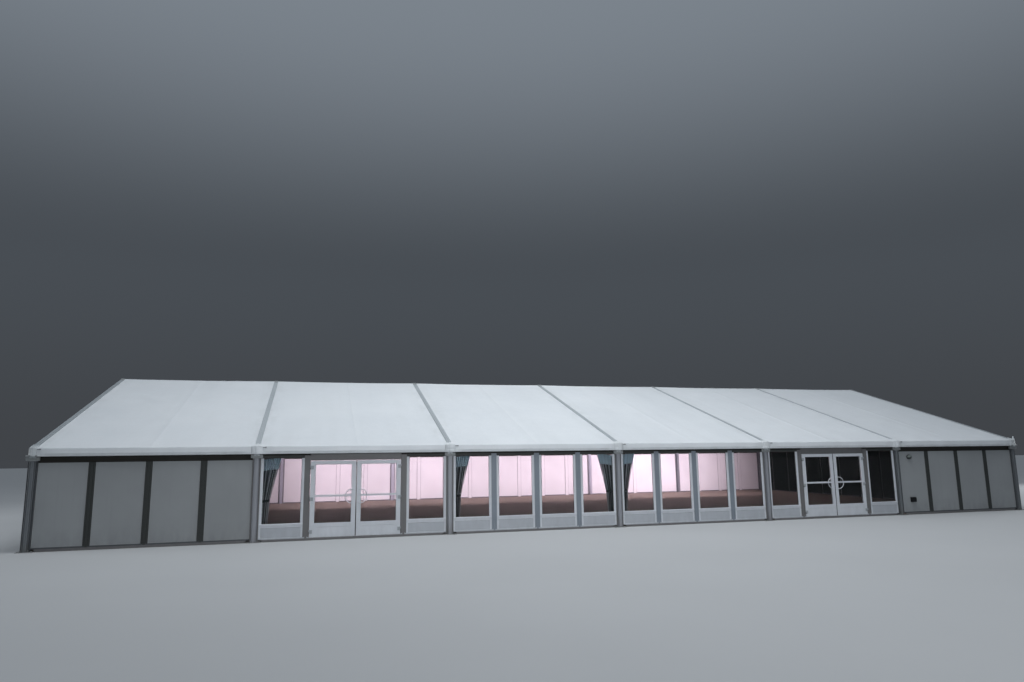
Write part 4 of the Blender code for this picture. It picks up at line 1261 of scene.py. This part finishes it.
def area_light(name, place, target, size, power, colour, spread=180):
    light = bpy.data.lights.new(name, 'AREA')
    light.shape = 'RECTANGLE'
    light.size, light.size_y = size
    light.energy = power
    light.color = colour
    light.spread = math.radians(spread)
    made = linked(name, light)
    made.location = place
    made.rotation_euler = (Vector(target) - Vector(place)).to_track_quat('-Z', 'Y').to_euler()


CAMERA_PLACE = (-8.585, -26.662, 2.11)
CAMERA_YAW = 15.678
CAMERA_PITCH = 9.219
CAMERA_ROLL = -0.713
FOCAL_PIXELS = 699.5
PHOTO_WIDTH = 1024


def photo_camera():
    """The camera that took the photo, with its angles in degrees."""
    data = bpy.data.cameras.new("camera")
    data.sensor_width = 36.0
    data.lens = FOCAL_PIXELS / PHOTO_WIDTH * data.sensor_width
    data.clip_end = 500.0
    turn = Matrix.Translation(CAMERA_PLACE)
    for angle, axis in ((-CAMERA_YAW, 'Z'), (90 + CAMERA_PITCH, 'X'), (CAMERA_ROLL, 'Z')):
        turn @= Matrix.Rotation(math.radians(angle), 4, axis)
    made = linked("camera", data)
    made.matrix_world = turn
    bpy.context.scene.camera = made


SKY = ((0.0, (0.105, 0.115, 0.130)), (0.25, (0.130, 0.150, 0.175)), (0.60, (0.40, 0.46, 0.53)),
       (1.0, (0.863, 0.931, 1.0)))
SKY_STRENGTH = 0.50
DAYLIGHT = (0.95, 0.975, 1.0)
ROSY = (0.99, 0.77, 0.93)


def studio_world():
    """A plain dome of light: dim at the horizon, bright overhead."""
    world = bpy.data.worlds.new("studio")
    world.use_nodes = True
    tree = world.node_tree
    height = tree.nodes.new("ShaderNodeSeparateXYZ")
    tree.links.new(tree.nodes.new("ShaderNodeTexCoord").outputs["Generated"], height.inputs[0])
    ramp = tree.nodes.new("ShaderNodeValToRGB")
    ramp.color_ramp.interpolation = 'EASE'
    while len(ramp.color_ramp.elements) < len(SKY):
        ramp.color_ramp.elements.new(0.5)
    for stop, (place, colour) in zip(ramp.color_ramp.elements, SKY):
        stop.position = place
        stop.color = (*colour, 1.0)
    tree.links.new(height.outputs[2], ramp.inputs["Fac"])
    background = tree.nodes["Background"]
    tree.links.new(ramp.outputs["Color"], background.inputs["Color"])
    background.inputs["Strength"].default_value = SKY_STRENGTH
    bpy.context.scene.world = world


stage_floor()
studio_world()
area_light("overhead", (-1.5, -11, 22), (-1, -1, 0), (20, 10), 1720, (0.94, 0.975, 1.0), 130)
area_light("fill", (-3, -33, 8), (-2, -7, 1), (10, 4), 320, DAYLIGHT, 85)
area_light("back_fill", (8, 32, 14), (0, 5, 1), (18, 8), 1500, DAYLIGHT)
for name, end in (("left_fill", -1), ("right_fill", 1)):
    area_light(name, (end * 36, 0, 4), (end * 12, 0, 1), (10, 6), 500, DAYLIGHT, 100)
for number, middle in enumerate((-7.5, -2.5, 2.5, 7.0, 10.2), 1):
    area_light(f"inside_{number}", (middle, 1.0, 3.3), (middle, 7.4, 1.0), (3.6, 0.8), 130, ROSY, 90)
photo_camera()
bpy.context.scene.view_settings.view_transform = 'Standard'
